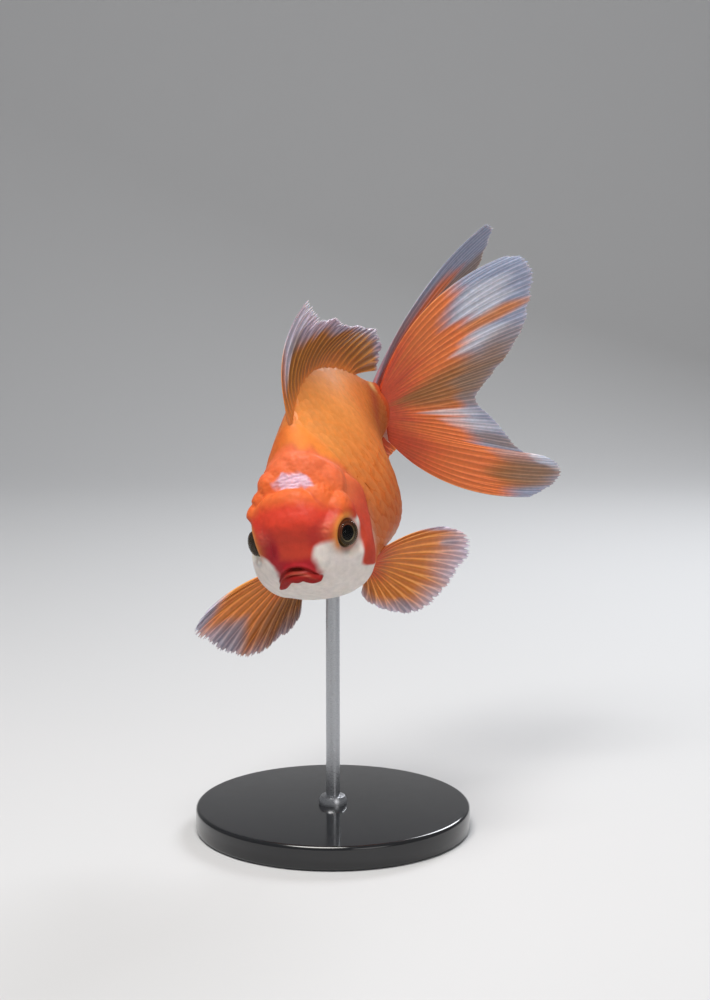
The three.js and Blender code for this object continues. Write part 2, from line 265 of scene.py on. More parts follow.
# %% [markdown]
# ## Soft steps and noise
# Nothing on a living thing has a hard border, so shapes and colours fade over a short way. The helper
# between says how far a value has come from one number to another, ease rounds that off at both ends, and
# hump is a bell curve. Noise shakes the borders, so that no two are alike.

# %% Soft steps and noise


def noise_at(points, size, seed=0.0):
    """Smooth noise from about -1 to 1 at each point, its blobs about size across."""
    return np.array([noise.noise(p) for p in (points / size + seed).tolist()])


def between(value, low, high):
    return np.clip((value - low) / (high - low), 0, 1)


def ease(share):
    share = np.clip(share, 0, 1)
    return share * share * (3 - 2 * share)


def hump(value, centre, width):
    return np.exp(-(((value - centre) / width) ** 2))


def mix(colours, colour, share):
    """The colours with a share of another laid over each."""
    share = np.clip(share, 0, 1)[:, None]
    return colours * (1 - share) + np.asarray(colour) * share


print("noise at the origin's neighbour:", noise_at(np.ones((1, 3)), 3.0).round(3))

# %% [markdown]
# ## Fish space
# A fish that turns is hard to model, and a straight one is easy. So the fish is first made straight, in
# "fish space": x to its own left, y back from the tip of the snout, z up. The pose then lays that space
# along a curved backbone. Stations along the body give its height and width, and a smooth curve through
# them gives every section between.

# %% Fish space
BODY_LENGTH = 107
# back from the snout, height of the back, height of the belly, half width, height of the widest line
STATIONS = (
    (0, -1, -11.3, 8, -6),
    (6, 7, -18.6, 14.6, -7.5),
    (14, 14, -27.1, 20.6, -9.7),
    (24, 22.3, -29.2, 20.9, -12.3),
    (30, 27.6, -29.7, 20.5, -13.5),
    (36, 32.6, -30.2, 21.9, -15),
    (50, 38.3, -30.9, 24.8, -15),
    (62, 37.6, -29, 23, -12.5),
    (74, 32, -23.5, 15.8, -6),
    (86, 24, -15.5, 9.4, 0),
    (96, 15.8, -10.8, 6, 0.5),
    (BODY_LENGTH, 9.5, -9.1, 4.2, 0.5),
)
NOSE_ROUNDING = 7
TAIL_ROUNDING = 3
BELLY_FULLNESS = 2.3
BACK_PINCH = 0.75


def curve_through(pairs):
    """A smooth curve through (x, y) pairs, as a function of x."""
    x, y = np.array(pairs, float).T
    ahead = np.minimum(np.arange(len(x)) + 1, len(x) - 1)
    behind = np.maximum(np.arange(len(x)) - 1, 0)
    slope = (y[ahead] - y[behind]) / (x[ahead] - x[behind])

    def value(at):
        at = np.asarray(at, float)
        i = np.clip(np.searchsorted(x, at), 1, len(x) - 1)
        span = x[i] - x[i - 1]
        t = np.clip((at - x[i - 1]) / span, 0, 1)
        start = (2 * t**3 - 3 * t**2 + 1) * y[i - 1] + (t**3 - 2 * t**2 + t) * span * slope[i - 1]
        end = (3 * t**2 - 2 * t**3) * y[i] + (t**3 - t**2) * span * slope[i]
        return start + end

    return value


back_height, belly_height, half_width, widest_height = (
    curve_through([(s[0], s[n]) for s in STATIONS]) for n in (1, 2, 3, 4)
)


def openness(back):
    nose = between(back, 0, NOSE_ROUNDING)
    tail = between(BODY_LENGTH - back, 0, TAIL_ROUNDING)
    return np.sqrt(1 - (1 - nose) ** 2) * np.sqrt(1 - (1 - tail) ** 2)


def body_point(back, turn):
    """A point of the body's outline: back from the snout, and turned from the fish's left, upwards."""
    upper = np.sin(turn) > 0
    power = np.where(upper, 1, 2 / BELLY_FULLNESS)
    side = np.sign(np.cos(turn)) * np.abs(np.cos(turn)) ** power
    rise = np.sign(np.sin(turn)) * np.abs(np.sin(turn)) ** power
    middle = widest_height(back)
    reach = np.where(upper, back_height(back) - middle, middle - belly_height(back))
    pinch = np.where(upper, BACK_PINCH * ease(between(back, 20, 50)) * rise**2, 0)
    across = half_width(back) * openness(back) * (1 - pinch) * side
    return np.stack([across, back, middle + reach * openness(back) * rise], -1)


print("body height at the middle, mm:", float(back_height(50) - belly_height(50)))

# %% [markdown]
# ## The pose
# The head points a little to one side with its nose low, and the tail swings the other way. The backbone
# is a chain of one-millimetre steps whose heading, pitch and roll ease from the head's values to the
# tail's. A point of fish space is carried by the backbone step that it belongs to.

# %% The pose
SNOUT = np.array((-12, -45, 108.4))
HEAD_TURN = (10.6, 25, 10.7)  # yaw, pitch and roll in degrees
TAIL_CHANGE = (16.4, -6.4, -12.8)
BEND_FROM, BEND_TO = 26, 95


def orientation(back):
    """The turning matrix of the body at each place along it."""
    bend = ease(between(back, BEND_FROM, BEND_TO))
    yaw, pitch, roll = (np.radians(h + t * bend) for h, t in zip(HEAD_TURN, TAIL_CHANGE))
    zero, one = np.zeros_like(yaw), np.ones_like(yaw)

    def matrix(*rows):
        return np.stack([np.stack(row, -1) for row in rows], -2)

    about_z = matrix(
        (np.cos(yaw), np.sin(yaw), zero), (-np.sin(yaw), np.cos(yaw), zero), (zero, zero, one))
    about_x = matrix(
        (one, zero, zero), (zero, np.cos(pitch), -np.sin(pitch)), (zero, np.sin(pitch), np.cos(pitch)))
    about_y = matrix(
        (np.cos(roll), zero, -np.sin(roll)), (zero, one, zero), (np.sin(roll), zero, np.cos(roll)))
    return about_z @ about_x @ about_y


BACKBONE = np.vstack([SNOUT, SNOUT + np.cumsum(orientation(np.arange(BODY_LENGTH) + 0.5)[:, :, 1], 0)])


def pose(points):
    """Carries points of fish space to their places in the posed fish, in millimetres."""
    back = np.clip(points[:, 1], 0, BODY_LENGTH)
    step = np.minimum(back.astype(int), BODY_LENGTH - 1)
    spine = BACKBONE[step] + (BACKBONE[step + 1] - BACKBONE[step]) * (back - step)[:, None]
    arm = points - np.outer(back, (0, 1, 0))
    return np.einsum("nij,nj->ni", orientation(back), arm) + spine


print("tail root at, mm:", pose(np.array([[0, BODY_LENGTH, 0]])).round(1))

# %% [markdown]
# ## The skin's blank
# All the flesh is one skin, so that no seam shows. It starts as a sphere whose poles are the mouth and the
# tail root. The rings are crowded towards the head, where the lids, lips and hood need small faces, and
# spaced wider along the flank.

# %% The skin's blank
RINGS, SEGMENTS = 200, 480
HEAD_SHARE = 0.33  # 1 would space the rings evenly
CROWDING = 11

bm = bmesh.new()
bmesh.ops.create_uvsphere(bm, u_segments=SEGMENTS, v_segments=RINGS, radius=1)
skin_mesh = mesh_from(bm, "skin")
ball = points_of(skin_mesh)
along = (1 - ball[:, 2]) / 2
skin_back = BODY_LENGTH * (HEAD_SHARE * along + (1 - HEAD_SHARE) * along**CROWDING)
skin_turn = np.arctan2(ball[:, 1], ball[:, 0])
plain = body_point(skin_back, skin_turn)
put_points(skin_mesh, plain)
outward = points_of(skin_mesh, "normal")
print("skin vertices:", len(plain))

# %% [markdown]
# ## The hood
# The hood is a crowd of soft lobes: one broad dome over the forehead and smaller ones behind it and at the
# sides. Each lobe is a cushion on the skin, steep at its rear rim and running out softly in front. A point
# of the skin is lifted to the highest cushion over it. Taking a soft maximum instead of a hard one leaves
# the folds between the lobes rounded, as flesh is.

# %% The hood
# each lobe's place, to the side, back and up, then its half width, half length and height
LOBES = (
    (9.2, 16.6, 14.0, 5.4, 4.2, 1.1),
    (16.6, 16.8, 8.0, 7.0, 6.4, 2.2),
    (-15.0, 17.0, 8.6, 5.4, 4.6, 3.5),
    (-12.4, 19.6, 12.8, 5.6, 3.9, 2.8),
    (-9.6, 22.6, 17.0, 6.8, 4.7, 2.6),
    (-4.8, 24.6, 20.6, 6.6, 3.8, 1.2),
    (5.0, 25.6, 21.8, 8.4, 3.8, 0.9),
    (13.6, 26.4, 15.0, 7.4, 5.0, 1.2),
)
LOBE_BLEND = 0.1
SLOPE_BACK, SLOPE_UP = 0.75, 0.66  # the forehead's slope, along which the lobes lie
HOOD_RISE = 0.6  # how far the hood stands out between its lobes
DOME_RISE = 2.8
EDGE_CLIMB = 0.42  # the lower edges of hood and dome climb this much for each step back
# how far back the dome's rim and the hood's end lie, from the fish's right to its left
dome_rim = curve_through((
    (-20, 14.5), (-17, 16.4), (-14, 17.2), (-9.5, 18.2), (-6, 18), (-1, 18), (3, 17.7), (6, 16.8),
    (10, 15.2), (16, 12.5)))
hood_end = curve_through((
    (-18, 33), (-12, 31), (-6, 29), (3, 28.2), (8, 29.4), (11.4, 31), (14, 32.6), (17, 34.5)))


def hood_share(p):
    """1 where the hood covers the head, 0 elsewhere."""
    x, y, z = p.T
    low = 3.4 + EDGE_CLIMB * (y - 8)
    over = ease(between(z - low, -1.5, 2.5))
    return over * ease(between(y, 3, 8)) * ease(between(hood_end(x) - y, 0, 1.6))


def dome_lift(p):
    """The lift of the dome over the forehead. It ends behind in a steep rim."""
    x, y, z = p.T
    inside = between(dome_rim(x) - y, 0, 2.4)
    above_edge = z - EDGE_CLIMB * y + EDGE_CLIMB * np.clip(-x - 8, 0, 10)
    front = ease(between(y, 2.5, 9)) * ease(between(above_edge, -1, 5.5))
    inwards = x + 4 * ease(between(y, 10, 15))
    sides = ease(between(x, -24, -19)) * (1 - 0.75 * ease(between(inwards, 4, 14)))
    return DOME_RISE * np.sqrt(1 - (1 - inside) ** 2) * front * sides


def cushion(p, lobe):
    """The lift of one lobe: 0 outside it, its height in the middle. It is steep behind and long in front."""
    arm = p - np.array(lobe[:3])
    wide, long, height = lobe[3:]
    rearwards = arm[:, 1] * SLOPE_BACK + arm[:, 2] * SLOPE_UP
    aslant = arm[:, 1] * -SLOPE_UP + arm[:, 2] * SLOPE_BACK
    rearwards = rearwards * (1 - 0.4 * ease(between(-rearwards, 0, long)))
    far = (arm[:, 0] / wide) ** 2 + (rearwards / long) ** 2 + (aslant / long) ** 2
    steepness = 0.95 - 0.45 * np.clip(1.3 * arm[:, 1] / long, -1, 1)
    return height * np.maximum(1 - far, 0) ** steepness


def hood_lifts(p):
    """The lift of the bare hood, of the dome and of each lobe."""
    base = HOOD_RISE * hood_share(p)
    return [base, base + dome_lift(p)] + [base + cushion(p, lobe) for lobe in LOBES]


def hood_lift(p):
    lifts = hood_lifts(p)
    highest = np.maximum.reduce(lifts)
    soft = highest + LOBE_BLEND * np.log(sum(np.exp((t - highest) / LOBE_BLEND) for t in lifts))
    return soft - LOBE_BLEND * math.log(len(lifts))


def hood_fold_shade(p):
    """1 in the folds between the lobes, where painted shade goes, 0 elsewhere."""
    lifts = np.sort(hood_lifts(p), axis=0)
    return hump(lifts[-1] - lifts[-2], 0, 0.22) * ease(between(lifts[-1] - lifts[0], 0.4, 1.0))


hood = hood_lift(plain)
print("the hood stands out by up to, mm:", float(hood.max().round(2)))

# %% [markdown]
# ## The gill covers
# A gill cover is a bony plate whose rear edge stands free. Here it is a step in the skin: the skin rises
# gently towards the edge and drops behind it into a shallow groove. A curve says how far back the edge lies
# at each height.

# %% The gill covers
GILL_COVER_RISE = 1.05
gill_edge = curve_through((
    (-25, 12.5), (-21, 14), (-17, 16), (-13.6, 18), (-11.6, 19.5), (-9, 21.5), (-7, 23.5), (-5, 26.4),
    (-2, 30.5), (1, 33), (4, 34.4), (7, 34.4), (10, 33.2), (14, 32)))


def gill_lift(p):
    x, y, z = p.T
    on_side = ease(between(np.abs(x), 9, 13)) * ease(between(z, -26, -20)) * ease(between(14 - z, 0, 5))
    behind = y - gill_edge(z)
    cover = GILL_COVER_RISE * ease(between(behind, -12, -1)) * (1 - ease(between(behind, -0.35, 0.35)))
    groove = -0.8 * hump(behind, 0.8, 1.0) - 0.4 * hump(behind, 2, 3.5)
    return on_side * (cover + groove)


gill_covers = gill_lift(plain)
print("the gill covers stand out by up to, mm:", float(gill_covers.max().round(2)))

# %% [markdown]
# ## The mouth
# The mouth droops at its corners, and the lower lip hangs from it in lobes. Both are shaped by how far a
# point lies below a drooping line: the line of the mouth, or the top edge of the lower lip. The lower lip is
# a half-round roll as deep as a curve says, and the mouth is open only in a short slit.

# %% The mouth
MOUTH_SIDE, LOWER_LIP_SIDE = -1.1, -0.2  # the middle of the mouth lies a little to one side
MOUTH_TOP, LOWER_LIP_TOP = -3.7, -5.7
MOUTH_DROOP, LOWER_LIP_DROOP, DROOP_POWER = 0.034, 0.021, 2.5
MOUTH_HALF = 8.7
SLIT_SIDE, SLIT_HALF, SLIT_DOWN = -1.4, 2.2, 0.35
INNER_ROLL_DOWN = 1.4
# the lower lip's depth from right to left, the fullest at the right corner
lip_depth = curve_through((
    (-10, 0), (-9.4, 1.8), (-8.8, 3), (-7.1, 4.3), (-5.2, 3.6), (-3.3, 2.6), (-1.2, 3.1), (0.6, 2.4),
    (1.7, 3.4), (3, 4.2), (4.3, 3.8), (5.6, 2.7), (6.6, 1.2), (7.1, 0)))


def below_mouth(p):
    """How far each point lies below the line of the mouth."""
    return MOUTH_TOP - MOUTH_DROOP * np.abs(p[:, 0] - MOUTH_SIDE) ** DROOP_POWER - p[:, 2]


def below_lip(p):
    """How far each point lies below the top edge of the lower lip."""
    return LOWER_LIP_TOP - LOWER_LIP_DROOP * np.abs(p[:, 0] - LOWER_LIP_SIDE) ** DROOP_POWER - p[:, 2]


def in_mouth(p):
    """1 within the width of the mouth, on the front of the head."""
    return (p[:, 1] < 9) * ease(between(MOUTH_HALF + 0.5 - np.abs(p[:, 0] - MOUTH_SIDE), 0, 1.2))


def mouth_lift(p):
    x, down, depth = p[:, 0], below_mouth(p), lip_depth(p[:, 0])
    from_roll = 2 * below_lip(p) / np.maximum(depth, 0.3) - 1
    lower = 2.0 * np.maximum(1 - from_roll**2, 0) ** 0.65 * ease(between(depth, 0.2, 2.6))
    gap = ease(between(down - below_lip(p), 0.2, 1.4))
    upper = 0.5 * hump(down, -0.8, 0.7) * ease(between(down - below_lip(p), -1.2, -0.2))
    inner = 1.1 * hump(down, INNER_ROLL_DOWN, 0.7) * gap
    chin_fold = -0.35 * hump(below_lip(p) - depth, 0.8, 0.8)
    slit = -2.0 * hump(down, SLIT_DOWN, 0.5) * hump(x, SLIT_SIDE, SLIT_HALF)
    slit = slit - 0.2 * hump(down, 0.1, 0.35) * gap
    return in_mouth(p) * (upper + inner + lower + chin_fold + slit)


mouth = mouth_lift(plain)
print("the lips stand out by up to, mm:", float(mouth.max().round(2)))

# %% [markdown]
# ## The lift of the skin
# All these shapes are lifts along the skin's outward direction, so they are added up and applied once. From
# the first ring of scales to the tail the skin is sunk by the scales' depth, so that the coat and not the
# skin lies at the body's outline.

# %% The lift of the skin
COAT_DEPTH = 0.25


def coat_start(turn):
    """How far back the first ring of scales lies at each turn round the body."""
    z = body_point(np.full_like(turn, 29.0), turn)[:, 2]
    side_start = np.maximum(gill_edge(z) + 1.6, 25)
    return side_start + 1.6 * ease(between(z, 8, 20))


from_coat = skin_back - coat_start(skin_turn)
in_coat = ease(between(from_coat, -0.5, 1.5)) * ease(between(BODY_LENGTH - skin_back, 1, 3))
lift = hood + gill_covers + mouth - COAT_DEPTH * in_coat
body = plain + outward * lift[:, None]
print("the skin is lifted from and to, mm:", float(lift.min().round(2)), float(lift.max().round(2)))

# %% [markdown]
# ## The eyes' places and their lids
# An eye has a centre, an axis that it looks along, and a direction up across its face. A lid is a rim round
# the eyeball: points of the skin are measured by their height along the axis and their distance from it,
# and lifted along it. Above and in front the rim folds over the eye.

# %% The eyes' places and their lids
SIDES = {"left": 1, "right": -1}
EYE_CENTRE = np.array((14.6, 12.5, 0.8))
EYE_RADIUS = 5.0
EYE_UP = math.radians(8)
EYE_TO_SIDE = {1: math.radians(65), -1: math.radians(70)}  # the right eye is turned further out
LID_RADIUS = 5.4
LID_REACH = 4.2  # the lid runs out into the cheek over this distance
LID_INNER = EYE_RADIUS - 0.35  # inside this the skin dives under the eyeball


def eye_frame(side):
    """The eyeball's centre, its outward axis, and the direction up across its face."""
    centre = EYE_CENTRE * (side, 1, 1)
    axis = np.array((
        side * math.sin(EYE_TO_SIDE[side]) * math.cos(EYE_UP),
        -math.cos(EYE_TO_SIDE[side]) * math.cos(EYE_UP),
        math.sin(EYE_UP)))
    up = np.array((0, 0, 1.0)) - axis * axis[2]
    return centre, axis, up / np.linalg.norm(up)


def round_eye(p, side):
    """Each point's height along the eye's axis, distance from it, and shares upwards and forwards."""
    centre, axis, up = eye_frame(side)
    forward = np.cross(axis, up) * side
    arm = p - centre
    height = arm @ axis
    flat = arm - np.outer(height, axis)
    distance = np.linalg.norm(flat, axis=1)
    divisor = np.maximum(distance, 1e-6)
    return height, distance, (flat @ up) / divisor, (flat @ forward) / divisor


def shape_lids(p):
    """Lifts the skin to a rim round each eye, and lets it dive under the eyeball."""
    for side in SIDES.values():
        height, distance, upward, forward = round_eye(p, side)
        _, axis, _ = eye_frame(side)
        fold = np.clip(0.85 * upward + 0.55 * forward, 0, 1)
        crest = 1.7 + 0.4 * upward + 0.5 * fold
        outside = distance - LID_RADIUS
        slope = (height - crest) * ease(between(outside, 0.9 * fold, LID_REACH))
        rim = crest + slope + 0.25 * fold * hump(outside, 0.5, 0.7)
        rim = np.where(outside < 0, crest - 0.5 * (np.abs(outside) / 0.8) ** 1.6, rim)
        rim = np.where(distance < LID_INNER, rim - 6 * (LID_INNER - distance), rim)
        rim = np.maximum(rim, -2.5)
        here = (height > -12) * (distance < 10)
        p = p + np.outer(here * (rim - height), axis)
    return p


print("the left eye looks along:", eye_frame(SIDES["left"])[1].round(2))

# %% [markdown]
# ## The nostrils, the pale patch and the wrinkles
# Over each nostril, between the eye and the mouth, stands a small fleshy flap with a pit before it. On top
# of the hood lies a pale patch with deep wrinkles, and the rest of the hood has shallow ones. A wrinkle is
# made from noise whose value is folded at zero, which turns the zero lines into sharp valleys.

# %% The nostrils, the pale patch and the wrinkles
NOSTRIL = np.array((11.0, 8.9, 5.2))
NOSTRIL_PIT = np.array((-2.3, -1.5, -1.0))  # from the flap
NOSTRIL_SEED = 31
PATCH_SIDE, PATCH_BACK = 0.3, 19.5
PATCH_HALF_WIDTH, PATCH_HALF_LENGTH = 7.0, 2.6


def shape_nostrils(p, n):
    """Moves points along their outward directions n."""
    for side in SIDES.values():
        flap = NOSTRIL * (side, 1, 1)
        distance = np.linalg.norm(p - flap, axis=1)
        to_pit = np.linalg.norm(p - (flap + NOSTRIL_PIT * (side, 1, 1)), axis=1)
        bumpy = 0.9 * noise_at(p, 1.0, NOSTRIL_SEED) * hump(distance, 0, 2.6)
        p = p + n * (1.3 * hump(distance, 0, 2.1) + bumpy - 1.2 * hump(to_pit, 0, 0.7))[:, None]
    return p


def patch_share(p):
    """1 on the pale wrinkled patch on top of the hood."""
    x, y, z = p.T
    across = ((x - PATCH_SIDE) / PATCH_HALF_WIDTH) ** 2 + ((y - PATCH_BACK) / PATCH_HALF_LENGTH) ** 2
    ragged = across + 0.5 * noise_at(p, 2.2, 5)
    return (z > 8) * (1 - ease(between(ragged, 0.45, 1.2)))


def wrinkle(p, n):
    share = hood_share(p)
    soft = 0.22 * noise_at(p, 4.5, 11) + 0.10 * noise_at(p, 1.8, 3)
    folds = 1 - 2.4 * np.abs(noise_at(p * (0.6, 1.3, 1.3), 1.6, 7))
    rear = share * ease(between(p[:, 1], 15, 18)) * 0.3
    return p + n * (share * soft + 0.45 * np.maximum(patch_share(p), rear) * folds)[:, None]


print("skin vertices on the patch:", int((patch_share(body) > 0.5).sum()))

# %% [markdown]
# ## Softening the head
# Where two lobes meet, the pushed points leave small jags, so the head is relaxed a few times with the
# smooth operator. The nostrils, wrinkles and lids come after that, so that they stay crisp.

# %% Softening the head
HEAD_END = 34
SOFTENINGS = 2

put_points(skin_mesh, body)
bm = bmesh.new()
bm.from_mesh(skin_mesh)
head_verts = [v for v in bm.verts if v.co.y < HEAD_END]
for _ in range(SOFTENINGS):
    bmesh.ops.smooth_vert(
        bm, verts=head_verts, factor=0.5, use_axis_x=True, use_axis_y=True, use_axis_z=True)
bm.to_mesh(skin_mesh)
bm.free()
body = points_of(skin_mesh)
skin_mesh.update()
outward = points_of(skin_mesh, "normal")
body = wrinkle(shape_nostrils(body, outward), outward)
body = shape_lids(body)
print("head vertices:", int((body[:, 1] < HEAD_END).sum()))

# %% [markdown]
# ## The colours of the flesh
# The fish is red and white: an orange back, a red hood that runs down the snout to the lips as a mask, and
# white cheeks. Each colour is named here, and smooth curves say where the white face and the red mask end.

# %% The colours of the flesh
ORANGE = linear("e77630")
# painted light and shade on the trunk: lighter above, deeper below and on the right
LIT_ORANGE = linear("f28e3c")
SHADED_ORANGE = linear("c2501e")
BELLY = linear("e8c8a4")
WHITE = linear("e9dfd8")
HOOD_RED = linear("cf3c26")
HOOD_RIM = linear("e06a30")
SALMON = linear("df6c42")
GILL_RED = linear("c0432c")
CRIMSON = linear("a80d22")
LIP_RED = linear("97110e")
LIP_LIGHT = linear("b4563a")
# painted shade inside the mouth
MOUTH_SHADE = linear("220406")
PINKISH = linear("e6bcae")
# painted shade on the tail stalk
TAIL_STALK_SHADE = linear("9c4a16")
TAIL_RED = linear("d8582e")
# a painted highlight on top of the tail root
TAIL_ROOT_HIGHLIGHT = linear("ffd890")
# the pale patch on the hood, partly its own colour and partly a painted highlight
PATCH_AND_HIGHLIGHT = linear("dcb8cc")
NOSTRIL_PINK = linear("f0946c")
LID_ORANGE = linear("e08a3c")
LID_PINK = linear("e2a494")
LID_SHADE = linear("8a4f35")
# painted shade on the skin under the eyeball
SOCKET_SHADE = linear("5c2f1c")

# how far back the white face reaches at each height
white_reach = curve_through((
    (-27, 26), (-24, 21), (-21, 16.5), (-18.5, 13), (-15.3, 10.8), (-12.7, 10.2), (-10.5, 10.9),
    (-7.4, 12.9), (-4.5, 15), (-0.9, 17.6), (2.2, 19.6), (5, 21)))
# how far the red mask on the snout reaches to the fish's left and right at each height
mask_left = curve_through((
    (-10, 7.4), (-7, 6.7), (-4.2, 5.8), (-2, 5.5), (0.5, 5.4), (2.5, 7), (4, 11), (6, 20)))
mask_right = curve_through((
    (-10, 9.6), (-6, 8.6), (-4, 9.4), (-2.5, 10.8), (-1, 12.4), (0.5, 14), (2, 16), (6, 20)))
print("the mask reaches at the lips, mm:", float(mask_left(-4)), float(mask_right(-4)))

# %% [markdown]
# ## The markings
# Skin and scales have to agree, so one function says what colour the fish is at a point of fish space, and
# both are painted by it. It works as a painter does, from large areas to small ones, and lays each colour
# over the last. Most markings are soft-edged regions whose borders are shaken by noise, which comes in three
# sizes: blot for the largest blobs, then patchy, then ragged.
# Light from above is painted in as well: lighter on the back, darker below, on the right and in the folds.

# %% The markings


def trunk_colours(p, blot, patchy):
    """Orange under painted light and shade, a cream belly, and painted shade and a highlight at the tail
    root.
    """
    x, y, z = p.T
    colour = np.tile(ORANGE, (len(p), 1))
    # painted light from above: the body lighter towards the top
    colour = mix(colour, LIT_ORANGE, ease(between(z - 0.25 * y + 7 * blot, -4, 12)) * 0.8)
    # painted shade: the lower flank darker
    colour = mix(colour, SHADED_ORANGE, ease(between(-z + 5 * blot, -6, 14)) * 0.65)
    colour = mix(colour, BELLY, ease(between(-z + 4 * patchy, 20, 27)) * 0.85)
    # painted shade over the front of the fish's right side
    colour = mix(colour, SHADED_ORANGE, ease(between(-x, -4, 6)) * ease(between(62 - y, 0, 20)) * 0.7)
    behind_gill = y - gill_edge(z)
    colour = mix(colour, PINKISH, 0.75 * np.exp(-(((behind_gill - 2.5) / 4) ** 2) - ((z + 11) / 5) ** 2))

    # at the tail root: painted shade, brown below and crimson along a crease each side, and a painted
    # highlight on top
    crease_shade = ease(between(y, 76, 86)) * (1 - ease(between(y, 96, 101))) * hump(z - 0.36 * (y - 80), 4.5, 4.0)
    colour = mix(colour, TAIL_STALK_SHADE, 0.55 * ease(between(y, 62, 82)) * ease(between(17 - z, 0, 9)))
    colour = mix(colour, CRIMSON, 0.6 * crease_shade)
    colour = mix(colour, TAIL_RED, ease(between(y, 97, 104)))
    from_highlight = ((x - 1) / 2) ** 2 + ((y - 99) / 1.8) ** 2 + ((z - 12) / 2) ** 2
    return mix(colour, TAIL_ROOT_HIGHLIGHT, 0.9 * np.exp(-from_highlight))


def hood_colours(p, patchy):
    """Red in front, orange along the dome's rim, salmon behind, crimson painted shade in folds and under the
    dome.
    """
    x, y, z = p.T
    red = np.tile(HOOD_RED, (len(p), 1))
    at_rim = ease(between(y + 1.2 * patchy + 0.3 * (z - 12), 10, 16)) * ease(between(z, 5, 10))
    red = mix(red, HOOD_RIM, at_rim * 0.9)
    red = mix(red, SALMON, ease(between(y + 1.5 * patchy, 19, 25)) * ease(between(z, -4, 9)) * 0.85)
    red = mix(red, GILL_RED, ease(between(9 - z + patchy, 0, 14)) * 0.8)
    # painted shade in the folds between the lobes
    red = mix(red, CRIMSON, 0.4 * hood_fold_shade(p))
    # painted shade under the overhanging dome, on the fish's right side
    under_dome_shade = ease(between(-x, 5, 11)) * ease(between(11.5 - z, 0, 5)) * ease(between(17 - y, 0, 4))
    return mix(red, CRIMSON, 0.85 * under_dome_shade * ease(between(z, -2, 1)))


def head_share(p, patchy, ragged):
    """1 where the hood's colours cover the fish: over the nape, and down to the gill cover's edge."""
    x, y, z = p.T
    before_gill = 1 - ease(between(y - gill_edge(z) + 0.5 * ragged, -0.2, 0.9))
    over_nape = ease(between(hood_end(x) + 1 - y + 2 * patchy, -1.5, 1.5))
    return before_gill + (over_nape - before_gill) * ease(between(z, 5, 11))


def white_share(p, ragged):
    """1 on the white face, which lies below the level of the eyes and before the gill covers."""
    x, y, z = p.T
    below_eyes = 1 - ease(between(z - 2.5 + 0.4 * ragged, -1.1, 1.1))
    reach = white_reach(z) + 5 * ease(between(-x, 0, 10)) + 7 * ease(between(-z, 11, 19))
    return below_eyes * (1 - ease(between(y - reach + 0.3 * ragged, -0.7, 0.7)))


def paint_mask(p, colour, red, ragged):
    """The red mask runs down the snout, darker at its sides, and narrows to the mouth."""
    x, y, z = p.T
    inside = np.where(x > 0, mask_left(z) - x, mask_right(z) + x) + 0.7 * ragged
    mask = ease(between(inside, -1.6, 1.2)) * (y < 14) * ease(between(z, -9, -7))
    flank = ease(between(np.abs(x + 0.8), 4.0, 7.5)) * (0.45 + 0.55 * ease(between(-x, -1, 3)))
    low = ease(between(-z, -0.5, 2.5))
    dark = np.maximum(flank, low) * ease(between(9.5 - z + 0.25 * x, 0, 5)) * 0.9
    return mix(colour, mix(red, CRIMSON, dark), mask)


def paint_lips(p, colour):
    """Deep red lips, a lighter roll inside them and painted shade in the slit between."""
    x, down = p[:, 0], below_mouth(p)
    under_lip = below_lip(p) - lip_depth(x)
    over_lower = ease(between(below_lip(p), -0.5, 0)) * between(lip_depth(x), 0, 0.6)
    lips = np.maximum(ease(between(down, -1.3, -0.6)), over_lower)
    lips = lips * in_mouth(p) * (1 - ease(between(under_lip, -0.1, 0.4)))
    colour = mix(colour, LIP_RED, lips)
    colour = mix(colour, LIP_LIGHT, lips * hump(down, INNER_ROLL_DOWN, 0.5) * hump(x, -0.8, 5) * 0.8)
    # painted shade in the slit of the mouth
    return mix(colour, MOUTH_SHADE, lips * hump(down, SLIT_DOWN, 0.42) * hump(x, SLIT_SIDE, SLIT_HALF))


def markings(p):
    """The fish's colour at each point of fish space, with its painted light and shade."""
    blot, patchy, ragged = noise_at(p, 13), noise_at(p, 5, 21), noise_at(p, 2.6, 9)
    red = hood_colours(p, patchy)
    colour = mix(trunk_colours(p, blot, patchy), red, head_share(p, patchy, ragged))
    colour = mix(colour, WHITE, white_share(p, ragged))
    colour = paint_lips(p, paint_mask(p, colour, red, ragged))
    # the pale patch, partly a painted highlight from above
    return mix(colour, PATCH_AND_HIGHLIGHT, patch_share(p) * 0.9)


print("the nape's colour:", markings(np.array([[0.0, 45.0, 36.0]])).round(3))

# %% [markdown]
# ## Painting the skin
# The skin gets the fish's markings at its own points. Round each eye the lid is orange above and pink below,
# with painted shade on its lower side; the skin under the eyeball is painted dark as shade, and the
# nostril's flap is pale.

# %% Painting the skin
paint = markings(body)
for side in SIDES.values():
    height, distance, upward, forward = round_eye(body, side)
    from_nostril = np.linalg.norm(body - NOSTRIL * (side, 1, 1), axis=1)
    from_nostril = from_nostril + 0.6 * noise_at(body, 1.2, NOSTRIL_SEED)
    paint = mix(paint, NOSTRIL_PINK, hump(from_nostril, 0, 2.4) * 0.8)
    lid = (height > -2) * hump(distance, LID_RADIUS + 0.5, 1.5)
    fold = ease(between(0.85 * upward + 0.55 * forward, -0.4, 0.5))
    paint = mix(paint, LID_ORANGE, lid * fold)
    paint = mix(paint, LID_PINK, (height > -2) * hump(distance, LID_RADIUS, 0.7) * (1 - fold) * 0.8)
    paint = mix(paint, LID_SHADE, lid * ease(between(-upward, -0.1, 0.6)) * 0.45)
    # painted shade on the skin under the eyeball
    paint = mix(paint, SOCKET_SHADE, (height > -4) * (1 - ease(between(distance, 4.8, 5.4))) * 0.85)
print("mean paint:", paint.mean(0).round(3))

